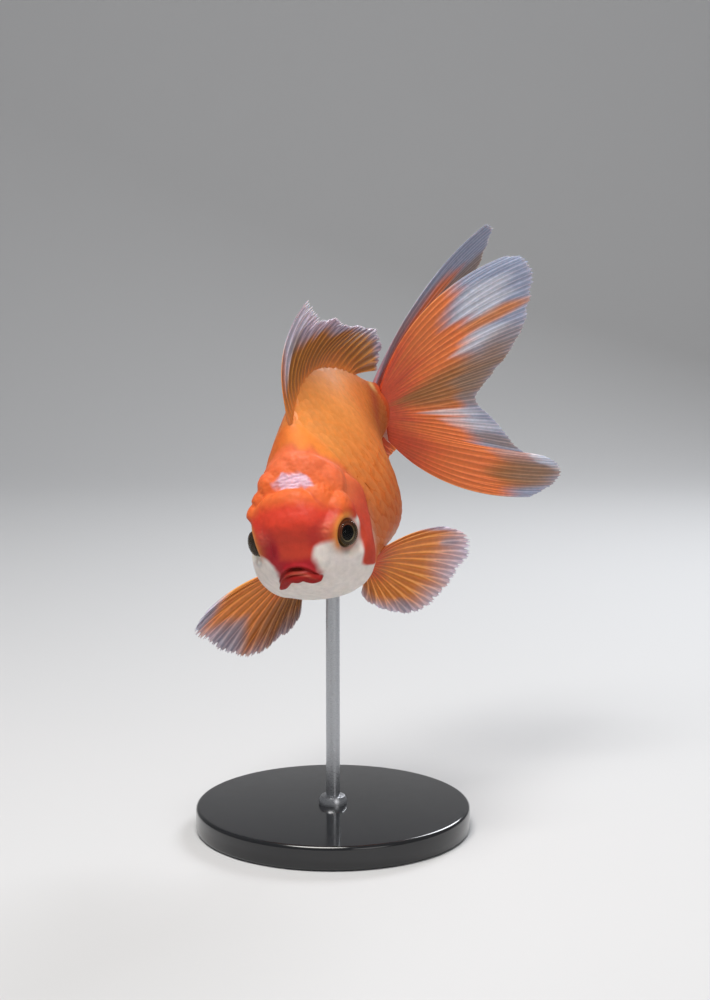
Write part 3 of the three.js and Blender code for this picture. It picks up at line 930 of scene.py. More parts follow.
# %% [markdown]
# ## The skin's finish
# Fish skin is wet flesh under a clear film. A little light goes into it and comes out red, so subsurface
# scattering is turned on with a radius of a few millimetres. A clear coat gives the film, and a fine bump
# breaks the gloss.

# %% The skin's finish
skin_finish, nodes, links, shader = finish(
    "wet_skin",
    Roughness=0.58,
    Specular_IOR_Level=0.28,
    Subsurface_Weight=0.25,
    Subsurface_Radius=(1.0, 0.35, 0.2),
    Subsurface_Scale=0.003,
    Coat_Weight=0.05,
    Coat_Roughness=0.25,
)
painted(nodes, links, shader, strength=0.08, scale=420)
links.new(spread(nodes, links, noise_node(nodes, links, 900), 0.52, 0.66), shader.inputs["Roughness"])
links.new(bump(nodes, links, noise_node(nodes, links, 1600), 0.00006), shader.inputs["Normal"])

put_points(skin_mesh, pose(body) * MM)
put_paint(skin_mesh, paint)
show(
    "skin", skin_mesh, skin_finish, "skin", "head", "hood", "upper_lip", "lower_lip",
    "gill_cover_left", "gill_cover_right", "trunk", "tail_stalk")

# %% [markdown]
# ## One scale
# A goldfish has about thirty scales along its side, in rows that overlap like roof tiles, each rooted in
# front and free behind. There are hundreds of them, so each one has few faces: a disc with one ring inset in
# it for its dome, and a back given to it by an extrude.

# %% One scale
RIM_POINTS = 14
DOME_INSET = 0.42

bm = bmesh.new()
bmesh.ops.create_circle(bm, cap_ends=True, radius=1, segments=RIM_POINTS)
bmesh.ops.inset_region(bm, faces=bm.faces[:], thickness=DOME_INSET, use_even_offset=True)
walls = bmesh.ops.extrude_face_region(bm, geom=bm.faces[:], use_keep_orig=True)
lower_verts = [v for v in walls["geom"] if isinstance(v, bmesh.types.BMVert)]
bmesh.ops.translate(bm, verts=lower_verts, vec=(0, 0, -1))
bmesh.ops.recalc_face_normals(bm, faces=bm.faces)
scale_blank = mesh_from(bm, "scale")
blank_count = len(scale_blank.vertices)
print("points on one scale:", blank_count)

# %% [markdown]
# ## The places of the scales
# The scales stand in rings round the body, and every second ring is turned by half a scale. The first ring
# follows the gill cover's edge. The rings draw closer together towards the tail, where real scales are
# smaller.

# %% The places of the scales
SCALE_ROWS = 32  # round the body
SCALE_RINGS = 29  # from the gill cover to the tail
SCALES_END = 99  # how far back the last ring lies
RING_TAPER = 0.12  # 0 would space the rings evenly

row_turn = 2 * math.pi * np.arange(SCALE_ROWS * 2) / (SCALE_ROWS * 2)
row_start = coat_start(row_turn)
places = []  # back, ring spacing and turn of each scale
for ring in range(SCALE_RINGS):
    share = ring / (SCALE_RINGS - 1)
    for row in range(SCALE_ROWS):
        turn = 2 * row + ring % 2
        length = SCALES_END - row_start[turn]
        at = row_start[turn] + length * ((1 + RING_TAPER) * share - RING_TAPER * share**2)
        spacing = length / SCALE_RINGS * (1 + RING_TAPER - 2 * RING_TAPER * share)
        places.append((at, spacing, row_turn[turn]))
print("scales:", len(places))

# %% [markdown]
# ## Laying the scales
# An array makes all the copies of the scale in one mesh, and each copy is then carried to its own place on
# the body. Its front edge lies close to the skin, and its back edge stands over the next ring.

# %% Laying the scales
SCALE_LENGTH = 1.75  # in ring spacings
SCALE_WIDTH = 1.06  # in row spacings
SCALE_THICKNESS = 0.09
SCALE_DOME = 0.07
SCALE_STANDING = 0.22  # how far the back edge stands out
COPY_STEP = 3  # between the array's copies


def many(mesh, count):
    """One mesh with count copies of another, made by an array and applied."""
    source = bpy.data.objects.new("array_source", mesh)
    bpy.context.scene.collection.objects.link(source)
    array = source.modifiers.new("copies", "ARRAY")
    array.count = count
    array.use_relative_offset = False
    array.use_constant_offset = True
    array.constant_offset_displace = (COPY_STEP, 0, 0)
    evaluated = source.evaluated_get(bpy.context.evaluated_depsgraph_get())
    result = bpy.data.meshes.new_from_object(evaluated)
    bpy.data.objects.remove(source)
    return result


def body_normal(back, turn):
    """The outward direction of the body's outline, from two small steps on it."""
    small = 0.02
    along_body = body_point(back + small, turn) - body_point(back - small, turn)
    round_body = body_point(back, turn + small) - body_point(back, turn - small)
    direction = np.cross(along_body, round_body)
    direction /= np.maximum(np.linalg.norm(direction, axis=1), 1e-9)[:, None]
    away = direction * (body_point(back, turn) - np.stack([0 * back, back, widest_height(back)], -1))
    return direction * np.where(away.sum(1) < 0, -1, 1)[:, None]


scale_mesh = many(scale_blank, len(places))
local = points_of(scale_mesh)
copy = np.arange(len(local)) // blank_count
local[:, 0] -= COPY_STEP * copy
back0, step0, turn0 = np.array(places)[copy].T
across, lengthwise, top = local[:, 0], local[:, 1], local[:, 2] > -0.5
share = (lengthwise + 1) / 2
scale_back = np.clip(back0 + step0 * SCALE_LENGTH * (share - 0.5), 0, BODY_LENGTH - 0.3)
half_turn = SCALE_WIDTH * math.pi / SCALE_ROWS
scale_turn = turn0 + half_turn * across

surface = body_point(scale_back, scale_turn)
normal = body_normal(scale_back, scale_turn)
dome = SCALE_DOME * (1 - across**2)
standing = SCALE_STANDING - 0.1 * ease(between(back0, 80, 96))
height = -COAT_DEPTH + 0.02 + standing * share + dome * share - np.where(top, 0, SCALE_THICKNESS)
scale_points = surface + normal * height[:, None]
print("coat from neck to tail, mm:", float(np.ptp(scale_back).round(1)))

# %% [markdown]
# ## The scales' paint and map
# The scales carry the same markings as the skin, a touch lighter towards the free edge. Their own map puts
# each scale as a tiny patch at its place on an unwrap of the body: one axis runs round the body and the
# other along it.

# %% The scales' paint and map
BAKE_PATCH = 0.003
MAP_SHARE, MAP_MARGIN = 0.96, 0.02  # of the map's width and height
SHADE_SEED = 4

scale_paint = markings(surface)
edge = ease(between(np.hypot(across, lengthwise), 0.6, 1.0)) * ease(between(lengthwise, -0.2, 0.6))
scale_paint = mix(scale_paint, linear("ffcf90"), 0.10 * edge)
own_shade = 1 + 0.025 * np.random.default_rng(SHADE_SEED).standard_normal(len(places))[copy]
scale_paint = scale_paint * own_shade[:, None]

uv = scale_mesh.uv_layers.new(name="OFBake")
corner_vertex = np.empty(len(scale_mesh.loops), np.int32)
scale_mesh.loops.foreach_get("vertex_index", corner_vertex)
round_body = (turn0 / (2 * math.pi)) % 1 * MAP_SHARE + MAP_MARGIN
along_body = back0 / BODY_LENGTH * MAP_SHARE + MAP_MARGIN
spot = np.stack([round_body + across * BAKE_PATCH / 2, along_body + lengthwise * BAKE_PATCH / 2], -1)
uv.data.foreach_set("uv", spot[corner_vertex].astype(np.float32).ravel())

scale_finish, nodes, links, shader = finish(
    "scale_gloss",
    Roughness=0.46,
    Specular_IOR_Level=0.26,
    Subsurface_Weight=0.15,
    Subsurface_Radius=(1.0, 0.35, 0.2),
    Subsurface_Scale=0.002,
    Coat_Weight=0.07,
    Coat_Roughness=0.25,
)
painted(nodes, links, shader, strength=0.07, scale=500)
links.new(spread(nodes, links, noise_node(nodes, links, 1300), 0.4, 0.54), shader.inputs["Roughness"])
links.new(bump(nodes, links, noise_node(nodes, links, 2200), 0.00004), shader.inputs["Normal"])

put_points(scale_mesh, pose(scale_points) * MM)
put_paint(scale_mesh, scale_paint)
face_outwards(scale_mesh)
show("scales", scale_mesh, scale_finish, "skin", smooth=False)
scale_mesh.shade_smooth()
scale_mesh.set_sharp_from_angle(angle=math.radians(50))

# %% [markdown]
# ## The eyes
# Each eye is two pieces. The eyeball is a ball cut flat in front, where the iris lies round a black pupil.
# Over it sits the clear cornea, a lens-shaped dome that stands out of the head, as a fish's does. The
# cornea's foot is sunk into the eyeball, so that no air is left between them and the pupil stays black.

# %% The eyes
IRIS_OUT = 2.2  # the iris lies this far out from the eyeball's centre
CORNEA_RISE = 2.7
CORNEA_RADIUS = 4.5
PUPIL_RADIUS = 2.45

eye_finish, nodes, links, shader = finish("iris_and_pupil", Roughness=0.6, Specular_IOR_Level=0.05)
painted(nodes, links, shader, strength=0.12, scale=1700)
links.new(spread(nodes, links, noise_node(nodes, links, 2500), 0.5, 0.65), shader.inputs["Roughness"])
cornea_finish, nodes, links, shader = finish(
    "clear_cornea", Base_Color=(1, 1, 1, 1), Roughness=0.02, Transmission_Weight=1.0, IOR=1.22)


def onto_eye(points, side):
    """Carries points round a z axis to the eye's own axis, in fish space."""
    centre, axis, up = eye_frame(side)
    across = np.cross(up, axis)
    return centre + points @ np.stack([across, up, axis])


def iris_paint(points):
    """A black pupil, a fine pale ring painted as a glint below, then a brown iris, redder above, olive
    below.
    """
    distance = np.hypot(points[:, 0], points[:, 1])
    upward = points[:, 1] / np.maximum(distance, 1e-6)
    olive = np.tile(linear("4e3c1c"), (len(points), 1))
    iris = mix(olive, linear("8a4424"), ease(between(upward, -0.2, 0.7)))
    iris = mix(iris, linear("241c14"), hump(distance, 3.25, 0.6) * 0.7)
    # the fine pale ring round the pupil, shown below only, where it is a painted glint
    iris = mix(iris, linear("a39a78"), hump(distance, PUPIL_RADIUS + 0.2, 0.14) * (0.3 - 0.3 * upward))
    in_pupil = 1 - ease(between(distance, PUPIL_RADIUS - 0.08, PUPIL_RADIUS + 0.08))
    iris = mix(iris, linear("020204"), in_pupil)
    return mix(iris, linear("1c120c"), ease(between(distance, 4.3, 4.9)) * 0.8)


for name, side in SIDES.items():
    bm = bmesh.new()
    bmesh.ops.create_uvsphere(bm, u_segments=80, v_segments=110, radius=EYE_RADIUS)
    mesh = mesh_from(bm, f"eyeball_{name}")
    points = points_of(mesh)
    dish = IRIS_OUT - 0.3 * hump(np.hypot(points[:, 0], points[:, 1]), PUPIL_RADIUS, 1.0)
    points[:, 2] = np.minimum(points[:, 2], dish)
    put_points(mesh, pose(onto_eye(points, side)) * MM)
    put_paint(mesh, iris_paint(points))
    show(f"eyeball_{name}", mesh, eye_finish, "eye", f"eye_{name}")

    bm = bmesh.new()
    bmesh.ops.create_uvsphere(bm, u_segments=64, v_segments=48, radius=1)
    mesh = mesh_from(bm, f"cornea_{name}")
    points = points_of(mesh) * (CORNEA_RADIUS, CORNEA_RADIUS, 1)
    points[:, 2] = np.where(points[:, 2] > 0, points[:, 2] * CORNEA_RISE, 0)
    points[:, 2] += IRIS_OUT - 0.5 * (points[:, 2] <= 0)
    put_points(mesh, pose(onto_eye(points, side)) * MM)
    face_outwards(mesh)
    show(f"cornea_{name}", mesh, cornea_finish, "eye")

# %% [markdown]
# ## The sheet of a fin
# A fin is a fan of rays with skin between them. A few named rays say where it points, how long it is and
# how it curls, and a smooth sheet is drawn through them. A ray is written as its share of the way across
# the fin, its turn to the side and its rise in degrees, and its length. Two more numbers may follow: by how
# much the rise and the turn change on the way out.

# %% The sheet of a fin


def straight(start, end):
    """A straight fin root, as a function of the share across it."""
    return lambda share: np.array(start) + (np.array(end) - start) * share[:, None]


def fin_sheet(rays, root):
    """The fin's middle sheet: share across the root and along the rays to a point of fish space."""
    full = [tuple(ray) + (0,) * (6 - len(ray)) for ray in rays]
    turn, rise, reach, arch, curl = (curve_through([(r[0], r[n]) for r in full]) for n in (1, 2, 3, 4, 5))

    def place(across, along):
        yaw = np.radians(turn(across) + curl(across) * (along - 1) / 2)
        pitch = np.radians(rise(across) + arch(across) * (along - 1) / 2)
        ray = np.stack([np.sin(yaw) * np.cos(pitch), np.cos(yaw) * np.cos(pitch), np.sin(pitch)], -1)
        return root(across) + ray * (reach(across) * along)[:, None]

    return place


trial_sheet = fin_sheet(((0, 0, 45, 10), (1, 0, -45, 10)), straight((0, 0, 1), (0, 0, -1)))
print("the middle ray of a small fin ends at:", trial_sheet(np.array([0.5]), np.array([1.0])).round(1))

# %% [markdown]
# ## The rays and the rim
# Each ray stands out of the fin as a ridge. It splits in two on its way to the rim, and may split again. A
# fin's splits say how far out each of them begins, and one that begins past 1 never comes. The rim is
# scalloped, because it reaches further out at a ray's tip than in the skin between two rays. It is also a
# little uneven, and where a fin is old the skin between its rays is torn back.

# %% The rays and the rim
RIM_SAMPLES = 300
TEAR_SEED = 9.5


def ray_ridges(place, along, splits):
    """Height from 0 to 1 of the rays: place counts the rays, which split on their way out."""
    off = place - np.round(place)
    first = 0.25 * ease(between(along, splits[0], splits[0] + 0.45))
    second = 0.125 * ease(between(along, splits[1], splits[1] + 0.3))
    width = 0.16 - 0.08 * ease(between(along, splits[0], 0.9))
    ridge = np.zeros_like(off)
    for one in (-1, 1):
        for two in (-1, 1):
            branch = one * first + two * second
            ridge = np.maximum(ridge, hump(off, branch, width))
            ridge = np.maximum(ridge, hump(off - np.sign(off), branch, width))
    return ridge


def across_evenly(sheet, even):
    """Shares across the root for columns that are spaced evenly along the rim."""
    grid = np.linspace(0, 1, RIM_SAMPLES)
    rim = sheet(grid, np.full_like(grid, 0.75))
    run = np.concatenate([[0], np.cumsum(np.linalg.norm(np.diff(rim, axis=0), axis=1))])
    return np.interp(even, run / run[-1], grid)


def trimmed(look, even, along, place):
    """How far out along its ray each point lies, once the rim is scalloped, uneven and torn."""
    zero = 0 * along
    uneven = noise_at(np.stack([place * 0.8, zero, zero + look["seed"]], -1), 1.0)
    at_tip = ray_ridges(place, np.ones_like(along), look["splits"])
    tears = between(noise_at(np.stack([place, zero, zero + TEAR_SEED], -1), 0.9), 0, 0.5)
    torn = look["torn"](even) * tears
    trim = look["scallop"] * (at_tip - 0.6) + look["uneven"] * uneven - torn * (1 - at_tip)
    return along * (1 + trim * along**5)


print("ridge at a ray and between two:", ray_ridges(np.array([0, 0.5]), np.zeros(2), (0.5, 0.8)).round(2))

# %% [markdown]
# ## Making a fin
# The blank is a flat grid that is given a back by an extrude. Its vertices are carried to the sheet, then
# moved off it by half the fin's thickness, which is greater at the root and along the rays. A fine pleat
# follows the rays, and a slow sway bends the whole fin, as water does.

# %% Making a fin


def fin_blank(name, columns, rows):
    """A flat closed blank: x and y from -0.5 to 0.5, z at 0 in front and -1 behind."""
    bm = bmesh.new()
    bmesh.ops.create_grid(bm, x_segments=columns, y_segments=rows, size=0.5)
    copied = bmesh.ops.extrude_face_region(bm, geom=bm.faces[:], use_keep_orig=True)
    back_side = [v for v in copied["geom"] if isinstance(v, bmesh.types.BMVert)]
    bmesh.ops.translate(bm, verts=back_side, vec=(0, 0, -1))
    bmesh.ops.recalc_face_normals(bm, faces=bm.faces)
    return mesh_from(bm, name)


def sheet_normal(sheet, across, out):
    """The direction off the sheet, from two small steps on it."""
    small = 0.002
    clear = np.maximum(out, 0.05)
    over = sheet(np.minimum(across + small, 1), clear) - sheet(np.maximum(across - small, 0), clear)
    up = sheet(across, clear + small) - sheet(across, clear - small)
    normal = np.cross(over, up)
    return normal / np.linalg.norm(normal, axis=1)[:, None]


def fin_thickness(look, even, along, ridge):
    """Thick at the root, raised along the rays and thin at the rim."""
    thick = look["root"] * (1 - ease(between(along, 0, 0.3))) + look["web"]
    thick = thick + look["ridge"] * ridge * (1 - 0.45 * along)
    from_side = 0.5 - np.abs(even - 0.5)
    rim_fade = ease(between(1 - along, 0, 0.03)) * ease(between(from_side, 0, 0.012))
    return thick * (0.25 + 0.75 * rim_fade)


def make_fin(name, sheet, look, paint_fin, slot_nodes, size):
    """A finished fin. look holds its numbers, size its (columns, rows)."""
    mesh = fin_blank(name, *size)
    blank = points_of(mesh)
    even, along = blank[:, 0] + 0.5, blank[:, 1] + 0.5
    side = np.where(blank[:, 2] > -0.5, 1, -1)
    rays = look["rays"]
    place = even * rays
    flat = np.stack([place, along * 3, np.full_like(even, look["seed"])], -1)

    across = across_evenly(sheet, even)
    ridge = ray_ridges(place, along, look["splits"])
    out = trimmed(look, even, along, place)
    thick = fin_thickness(look, even, along, ridge)
    pleat = look["pleat"] * np.cos(2 * math.pi * place) * ease(between(along, 0.1, 0.6))
    sway = look["sway"] * noise_at(flat * (1.6 / rays * 3, 0.4, 1), 1.0) * ease(between(along, 0.25, 1))
    off = side * thick / 2 + pleat + sway
    points = sheet(across, out) + sheet_normal(sheet, across, out) * off[:, None]

    put_points(mesh, pose(points) * MM)
    face_outwards(mesh)
    put_paint(mesh, paint_fin(even, along, ridge, flat))
    return show(name, mesh, fin_finish, "fin", *slot_nodes)


fin_finish, nodes, links, shader = finish(
    "thin_fin",
    Roughness=0.4,
    Subsurface_Weight=0.35,
    Subsurface_Radius=(1.0, 0.6, 0.45),
    Subsurface_Scale=0.0015,
    Coat_Weight=0.08,
    Coat_Roughness=0.25,
)
painted(nodes, links, shader, strength=0.08, scale=700)
links.new(spread(nodes, links, noise_node(nodes, links, 1100), 0.34, 0.5), shader.inputs["Roughness"])
links.new(bump(nodes, links, noise_node(nodes, links, 2600), 0.00003), shader.inputs["Normal"])
print("fin finish:", fin_finish.name)

# %% [markdown]
# ## Painting a fin
# Near its root a fin has the body's orange, and towards the rim it turns milky and blue-white. The border
# between them runs out along the rays in long fingers, so the noise that shakes it is fine across the fin
# and long along it. Single patches of colour are then laid over, each an oval on the fin's own sheet, and
# some of them are painted shade. Each ray gets a painted highlight and the skin between rays painted shade.

# %% Painting a fin
FIN_ORANGE = linear("e07834")
FIN_RED = linear("d4532c")
PECTORAL_ORANGE = linear("ee9240")
FIN_BROWN = linear("a8632c")
FIN_GOLD = linear("c67a30")
FIN_OLIVE = linear("86622c")
# painted shade, for fin skin that lies in shadow
FIN_SHADE = linear("7c6a56")
FIN_BLUE = linear("8c9db8")
FIN_WHITE = linear("ccd6e4")
FIN_LILAC = linear("b2a8c0")
FIN_LAVENDER = linear("c8c2da")
# painted shade, brown, for the right pectoral fin's rear half
FIN_SHADE_BROWN = linear("6e4a26")
FIN_PALE = linear("dcdaf0")
DORSAL_ORANGE = linear("de7e32")
DORSAL_OCHRE = linear("c07a2a")
FINGER_LENGTH = 0.18
# painted highlights along the rays of each fin
TAIL_RAY_HIGHLIGHT, DORSAL_RAY_HIGHLIGHT, PAIRED_RAY_HIGHLIGHT = "eeb496", "e8b060", "ffdca8"  # the light on the rays


def fingers(flat):
    """Noise drawn out along the rays."""
    fine = noise_at(flat * (0.9, 0.35, 1), 1.0, 3)
    broad = noise_at(flat * (0.3, 0.3, 1), 1.0, 17)
    return 0.6 * fine + 0.6 * broad


def fin_paint(root_colour, middle_colour, rim_colour, change, soft, patches, ray_highlight, valley_shade=0.15):
    """A painter for make_fin: change gives where along the rays the orange ends, for each place across."""

    def paint_fin(even, along, ridge, flat):
        shaken = along + FINGER_LENGTH * fingers(flat)
        colour = np.tile(root_colour, (len(even), 1))
        colour = mix(colour, middle_colour, ease(between(shaken, 0.05, 0.4)))
        end = change(even)
        colour = mix(colour, rim_colour, ease(between(shaken, end - soft, end + soft)))
        for across, out, half_across, half_out, patch, strength in patches:
            far = ((even - across) / half_across) ** 2 + ((shaken - out) / half_out) ** 2
            colour = mix(colour, patch, strength * (1 - ease(between(far, 0.1, 1.6))))
        # a painted highlight along each ray
        light = ridge**2 * ease(between(along, 0.1, 0.5))
        colour = mix(colour, linear(ray_highlight), 0.12 * light) * (1 + 0.3 * light)[:, None]
        # painted shade in the skin between the rays
        colour = colour * (1 - valley_shade * (1 - ridge) * ease(between(along, 0, 0.2)))[:, None]
        streak = 1 + 0.10 * noise_at(flat * (3.1, 0.6, 1), 1.0, 29)
        return colour * streak[:, None]

    return paint_fin


print("fingers at three places of a fin:", fingers(np.eye(3) * 5).round(2))

# %% [markdown]
# ## The tail
# The oranda's tail fin is double: two forked fans that spring from one root, one to each side. Each is one
# piece here, so that the skin runs on round the fork. A patch of colour is written as its place across and
# along the fin, its half width and half length there, its colour and how strongly it covers.

# %% The tail
TAIL_LEFT = (
    (0, 45, 36, 68, -62), (0.1, 47, 31, 73.5, -46), (0.22, 49, 22, 64.5, -26), (0.35, 52, 15, 55, -10),
    (0.47, 54, 8, 43), (0.56, 56, -2, 35), (0.64, 58, -13, 43), (0.74, 60, -21, 53, 2),
    (0.84, 62, -18.6, 64, 11), (0.93, 63, -20.7, 68, 30), (1, 65, -29.7, 59.5, 57),
)
TAIL_RIGHT = (
    (0, 22, 33, 78, -40), (0.1, 21, 30, 80, -34), (0.22, 19, 26, 71, -24), (0.35, 16, 16, 57, -10),
    (0.47, 13, 8, 44), (0.56, 10, -3, 36), (0.64, 8, -14, 43), (0.74, 5, -23, 53, 6),
    (0.84, 2, -22, 62, 16), (0.93, 0, -25, 60, 26), (1, -2, -31, 50, 36),
)
TAIL_LOOK = {
    "rays": 36, "splits": (0.4, 2.0), "seed": 1.3, "root": 1.5, "web": 0.32, "ridge": 0.16,
    "scallop": 0.012, "uneven": 0.02, "torn": lambda even: 0 * even, "pleat": 0.05, "sway": 1.3,
}
# how far out the orange of the left tail fin ends, from its top to its foot
tail_change = curve_through((
    (0, 0.62), (0.06, 0.64), (0.1, 0.54), (0.2, 0.66), (0.3, 0.62), (0.42, 0.72), (0.52, 0.8),
    (0.62, 0.70), (0.72, 0.66), (0.85, 0.72), (1, 0.78)))
TAIL_PATCHES = (
    (0.195, 0.78, 0.028, 0.22, FIN_GOLD, 0.9),
    (0.12, 0.76, 0.06, 0.16, FIN_WHITE, 0.7),
    (0.255, 0.72, 0.035, 0.17, FIN_WHITE, 0.6),
    (0.30, 0.88, 0.05, 0.14, FIN_SHADE, 0.5),
    (0.42, 0.62, 0.13, 0.44, FIN_OLIVE, 0.85),
    (0.44, 0.94, 0.10, 0.14, FIN_SHADE, 0.7),
    (0.565, 0.66, 0.02, 0.34, FIN_WHITE, 0.7),
    (0.62, 0.72, 0.035, 0.26, FIN_WHITE, 0.6),
    (0.685, 0.84, 0.035, 0.20, FIN_SHADE, 0.6),
    (0.88, 0.78, 0.07, 0.20, FIN_OLIVE, 0.85),
    (0.78, 0.80, 0.05, 0.16, FIN_GOLD, 0.5),
    (0.80, 0.95, 0.06, 0.06, FIN_WHITE, 0.5),
)
tail_paint = fin_paint(FIN_RED, FIN_ORANGE, FIN_BLUE, tail_change, 0.10, TAIL_PATCHES, TAIL_RAY_HIGHLIGHT)
FAR_PATCHES = (
    (0.02, 0.35, 0.04, 0.4, FIN_BLUE, 0.8),
    (0.16, 0.75, 0.05, 0.6, FIN_SHADE, 0.8),
    (0.44, 0.80, 0.10, 0.20, FIN_SHADE, 0.6),
    (0.97, 0.35, 0.10, 0.5, FIN_BROWN, 0.8),
)
far_change = curve_through((
    (0, 0.3), (0.05, 0.62), (0.1, 0.72), (0.2, 0.6), (0.4, 0.6), (0.56, 0.55), (1, 0.7)))
far_paint = fin_paint(FIN_RED, FIN_ORANGE, FIN_BLUE, far_change, 0.10, FAR_PATCHES, TAIL_RAY_HIGHLIGHT)
TAIL_SIZE = (390, 108)
TAIL_FOOT_DROP = 4
right_root = straight((-1.6, 104, 9), (-2.6, 104, -9))


def left_root(share):
    """The left tail fin's root, which reaches lower at its foot than the right one's."""
    drop = np.outer(ease(between(share, 0.6, 1)), (0, 0, TAIL_FOOT_DROP))
    return straight((1.6, 104, 9), (2.6, 104, -9))(share) - drop


make_fin("tail_fin_left", fin_sheet(TAIL_LEFT, left_root), TAIL_LOOK, tail_paint,
         ("tail_upper_lobe_left", "tail_lower_lobe_left"), TAIL_SIZE)
make_fin("tail_fin_right", fin_sheet(TAIL_RIGHT, right_root), {**TAIL_LOOK, "seed": 4.7}, far_paint,
         ("tail_upper_lobe_right", "tail_lower_lobe_right"), TAIL_SIZE)

# %% [markdown]
# ## The dorsal fin
# The fin on the back stands highest in front, where its first rays lean over to one side. Its tips are
# frayed, as old fins are: between some of the rays the skin is torn back.

# %% The dorsal fin
DORSAL = (
    (0, 22, 61, 43, -50, 84), (0.08, 16, 51, 35, -46, 62), (0.19, 10, 37, 29, -42, 34),
    (0.32, 5, 24, 28.5, -38, 14), (0.47, 2, 11, 27.5, -32, 6), (0.62, 0, 1, 34, -28),
    (0.79, 0, 1, 33, -22), (0.9, 0, -3, 30, -18), (1, 0, -20, 20, -10),
)
DORSAL_LOOK = {
    "rays": 20, "splits": (0.55, 0.8), "seed": 8.1, "root": 1.3, "web": 0.3, "ridge": 0.38,
    "scallop": 0.05, "uneven": 0.05, "torn": lambda even: 0.2 * (1 - 0.6 * even), "pleat": 0.26, "sway": 0.5,
}
DORSAL_PATCHES = (
    (0.055, 0.74, 0.065, 0.44, FIN_PALE, 0.95),
    (0.02, 0.40, 0.03, 0.22, FIN_ORANGE, 0.7),
    (0.11, 0.75, 0.03, 0.16, FIN_SHADE, 0.6),
)
dorsal_change = curve_through((
    (0, 0.6), (0.08, 0.72), (0.15, 0.76), (0.3, 0.78), (0.6, 0.8), (0.85, 0.82), (1, 0.9)))
DORSAL_START, DORSAL_LENGTH, DORSAL_DEPTH = 35, 52, 1.5
DORSAL_SIZE = (270, 80)


def on_ridge(share):
    """The dorsal fin's root, sunk a little into the ridge of the back."""
    back = DORSAL_START + DORSAL_LENGTH * share
    return np.stack([0 * back, back, back_height(back) - DORSAL_DEPTH], -1)


dorsal_paint = fin_paint(
    DORSAL_ORANGE, DORSAL_OCHRE, FIN_LILAC, dorsal_change, 0.12, DORSAL_PATCHES, DORSAL_RAY_HIGHLIGHT, valley_shade=0.42)
make_fin("dorsal_fin_finished", fin_sheet(DORSAL, on_ridge), DORSAL_LOOK, dorsal_paint,
         ("dorsal_fin",), DORSAL_SIZE)

# %% [markdown]
# ## The pectoral fins
# The pectoral fins are spread wide to brake. Each is a fan of about fifteen stout rays with a scalloped rim,
# and its root lies low on the flank, behind the gill cover.

# %% The pectoral fins
PECTORAL_LEFT = (
    (0, 60, 6, 28, -30), (0.1, 60, -4, 37, -26), (0.22, 60, -14, 38.5, -18), (0.36, 60, -27, 34.5, -10),
    (0.5, 60, -40, 32.5), (0.64, 60, -56, 31), (0.78, 60, -70, 27), (0.9, 60, -91, 18), (1, 60, -117, 10),
)
PECTORAL_RIGHT = (
    (0, -100, -18, 37, -36), (0.1, -100, -23, 45.5, -26), (0.22, -100, -30, 45.5, -16),
    (0.36, -100, -43, 44, -8), (0.5, -100, -51, 41), (0.64, -100, -54, 37), (0.78, -100, -58, 30),
    (0.9, -100, -63, 26), (1, -100, -70, 17),
)
PECTORAL_LOOK = {
    "rays": 15, "splits": (0.5, 0.8), "seed": 2.2, "root": 2.4, "web": 0.3, "ridge": 0.4,
    "scallop": 0.035, "uneven": 0.02, "torn": lambda even: 0.03 + 0 * even, "pleat": 0.42, "sway": 0.7,
}
pectoral_change = curve_through((
    (0, 0.8), (0.15, 0.84), (0.4, 0.92), (0.6, 0.88), (0.8, 0.84), (1, 0.7)))
PECTORAL_PATCHES = (
    (0.03, 0.95, 0.1, 0.2, FIN_LAVENDER, 0.7),
    (0.20, 0.84, 0.03, 0.10, FIN_BLUE, 0.6),
    (0.72, 0.84, 0.05, 0.16, FIN_BLUE, 0.6),
    (0.97, 0.6, 0.10, 0.4, FIN_BROWN, 0.6),
)
RIGHT_PATCHES = (
    (0.38, 0.88, 0.12, 0.24, FIN_BLUE, 0.8),
    (0.12, 0.92, 0.06, 0.16, FIN_BLUE, 0.7),
    # painted shade over the rear half of the fin
    (0.80, 0.60, 0.34, 0.50, FIN_SHADE_BROWN, 0.75),
)
pectoral_paint = fin_paint(
    FIN_RED, PECTORAL_ORANGE, FIN_LAVENDER, pectoral_change, 0.22, PECTORAL_PATCHES, PAIRED_RAY_HIGHLIGHT, valley_shade=0.3)
right_paint = fin_paint(
    FIN_RED, PECTORAL_ORANGE, FIN_LAVENDER, pectoral_change, 0.2, RIGHT_PATCHES, PAIRED_RAY_HIGHLIGHT, valley_shade=0.35)
PECTORAL_SIZE = (250, 84)
left_shoulder = straight((15, 32, -24), (11.5, 33, -29))
right_shoulder = straight((-15, 32, -24), (-11.5, 33, -29))
make_fin("pectoral_left", fin_sheet(PECTORAL_LEFT, left_shoulder), PECTORAL_LOOK, pectoral_paint,
         ("pectoral_fin_left",), PECTORAL_SIZE)
make_fin("pectoral_right", fin_sheet(PECTORAL_RIGHT, right_shoulder), {**PECTORAL_LOOK, "seed": 6.4},
         right_paint, ("pectoral_fin_right",), PECTORAL_SIZE)

# %% [markdown]
# ## The pelvic and the anal fins
# The pelvic fins hang under the belly, and the anal fin, which is double in this fish, fills the corner
# between the flank and the tail. They are small and made in pairs, so one table of rays serves both sides.

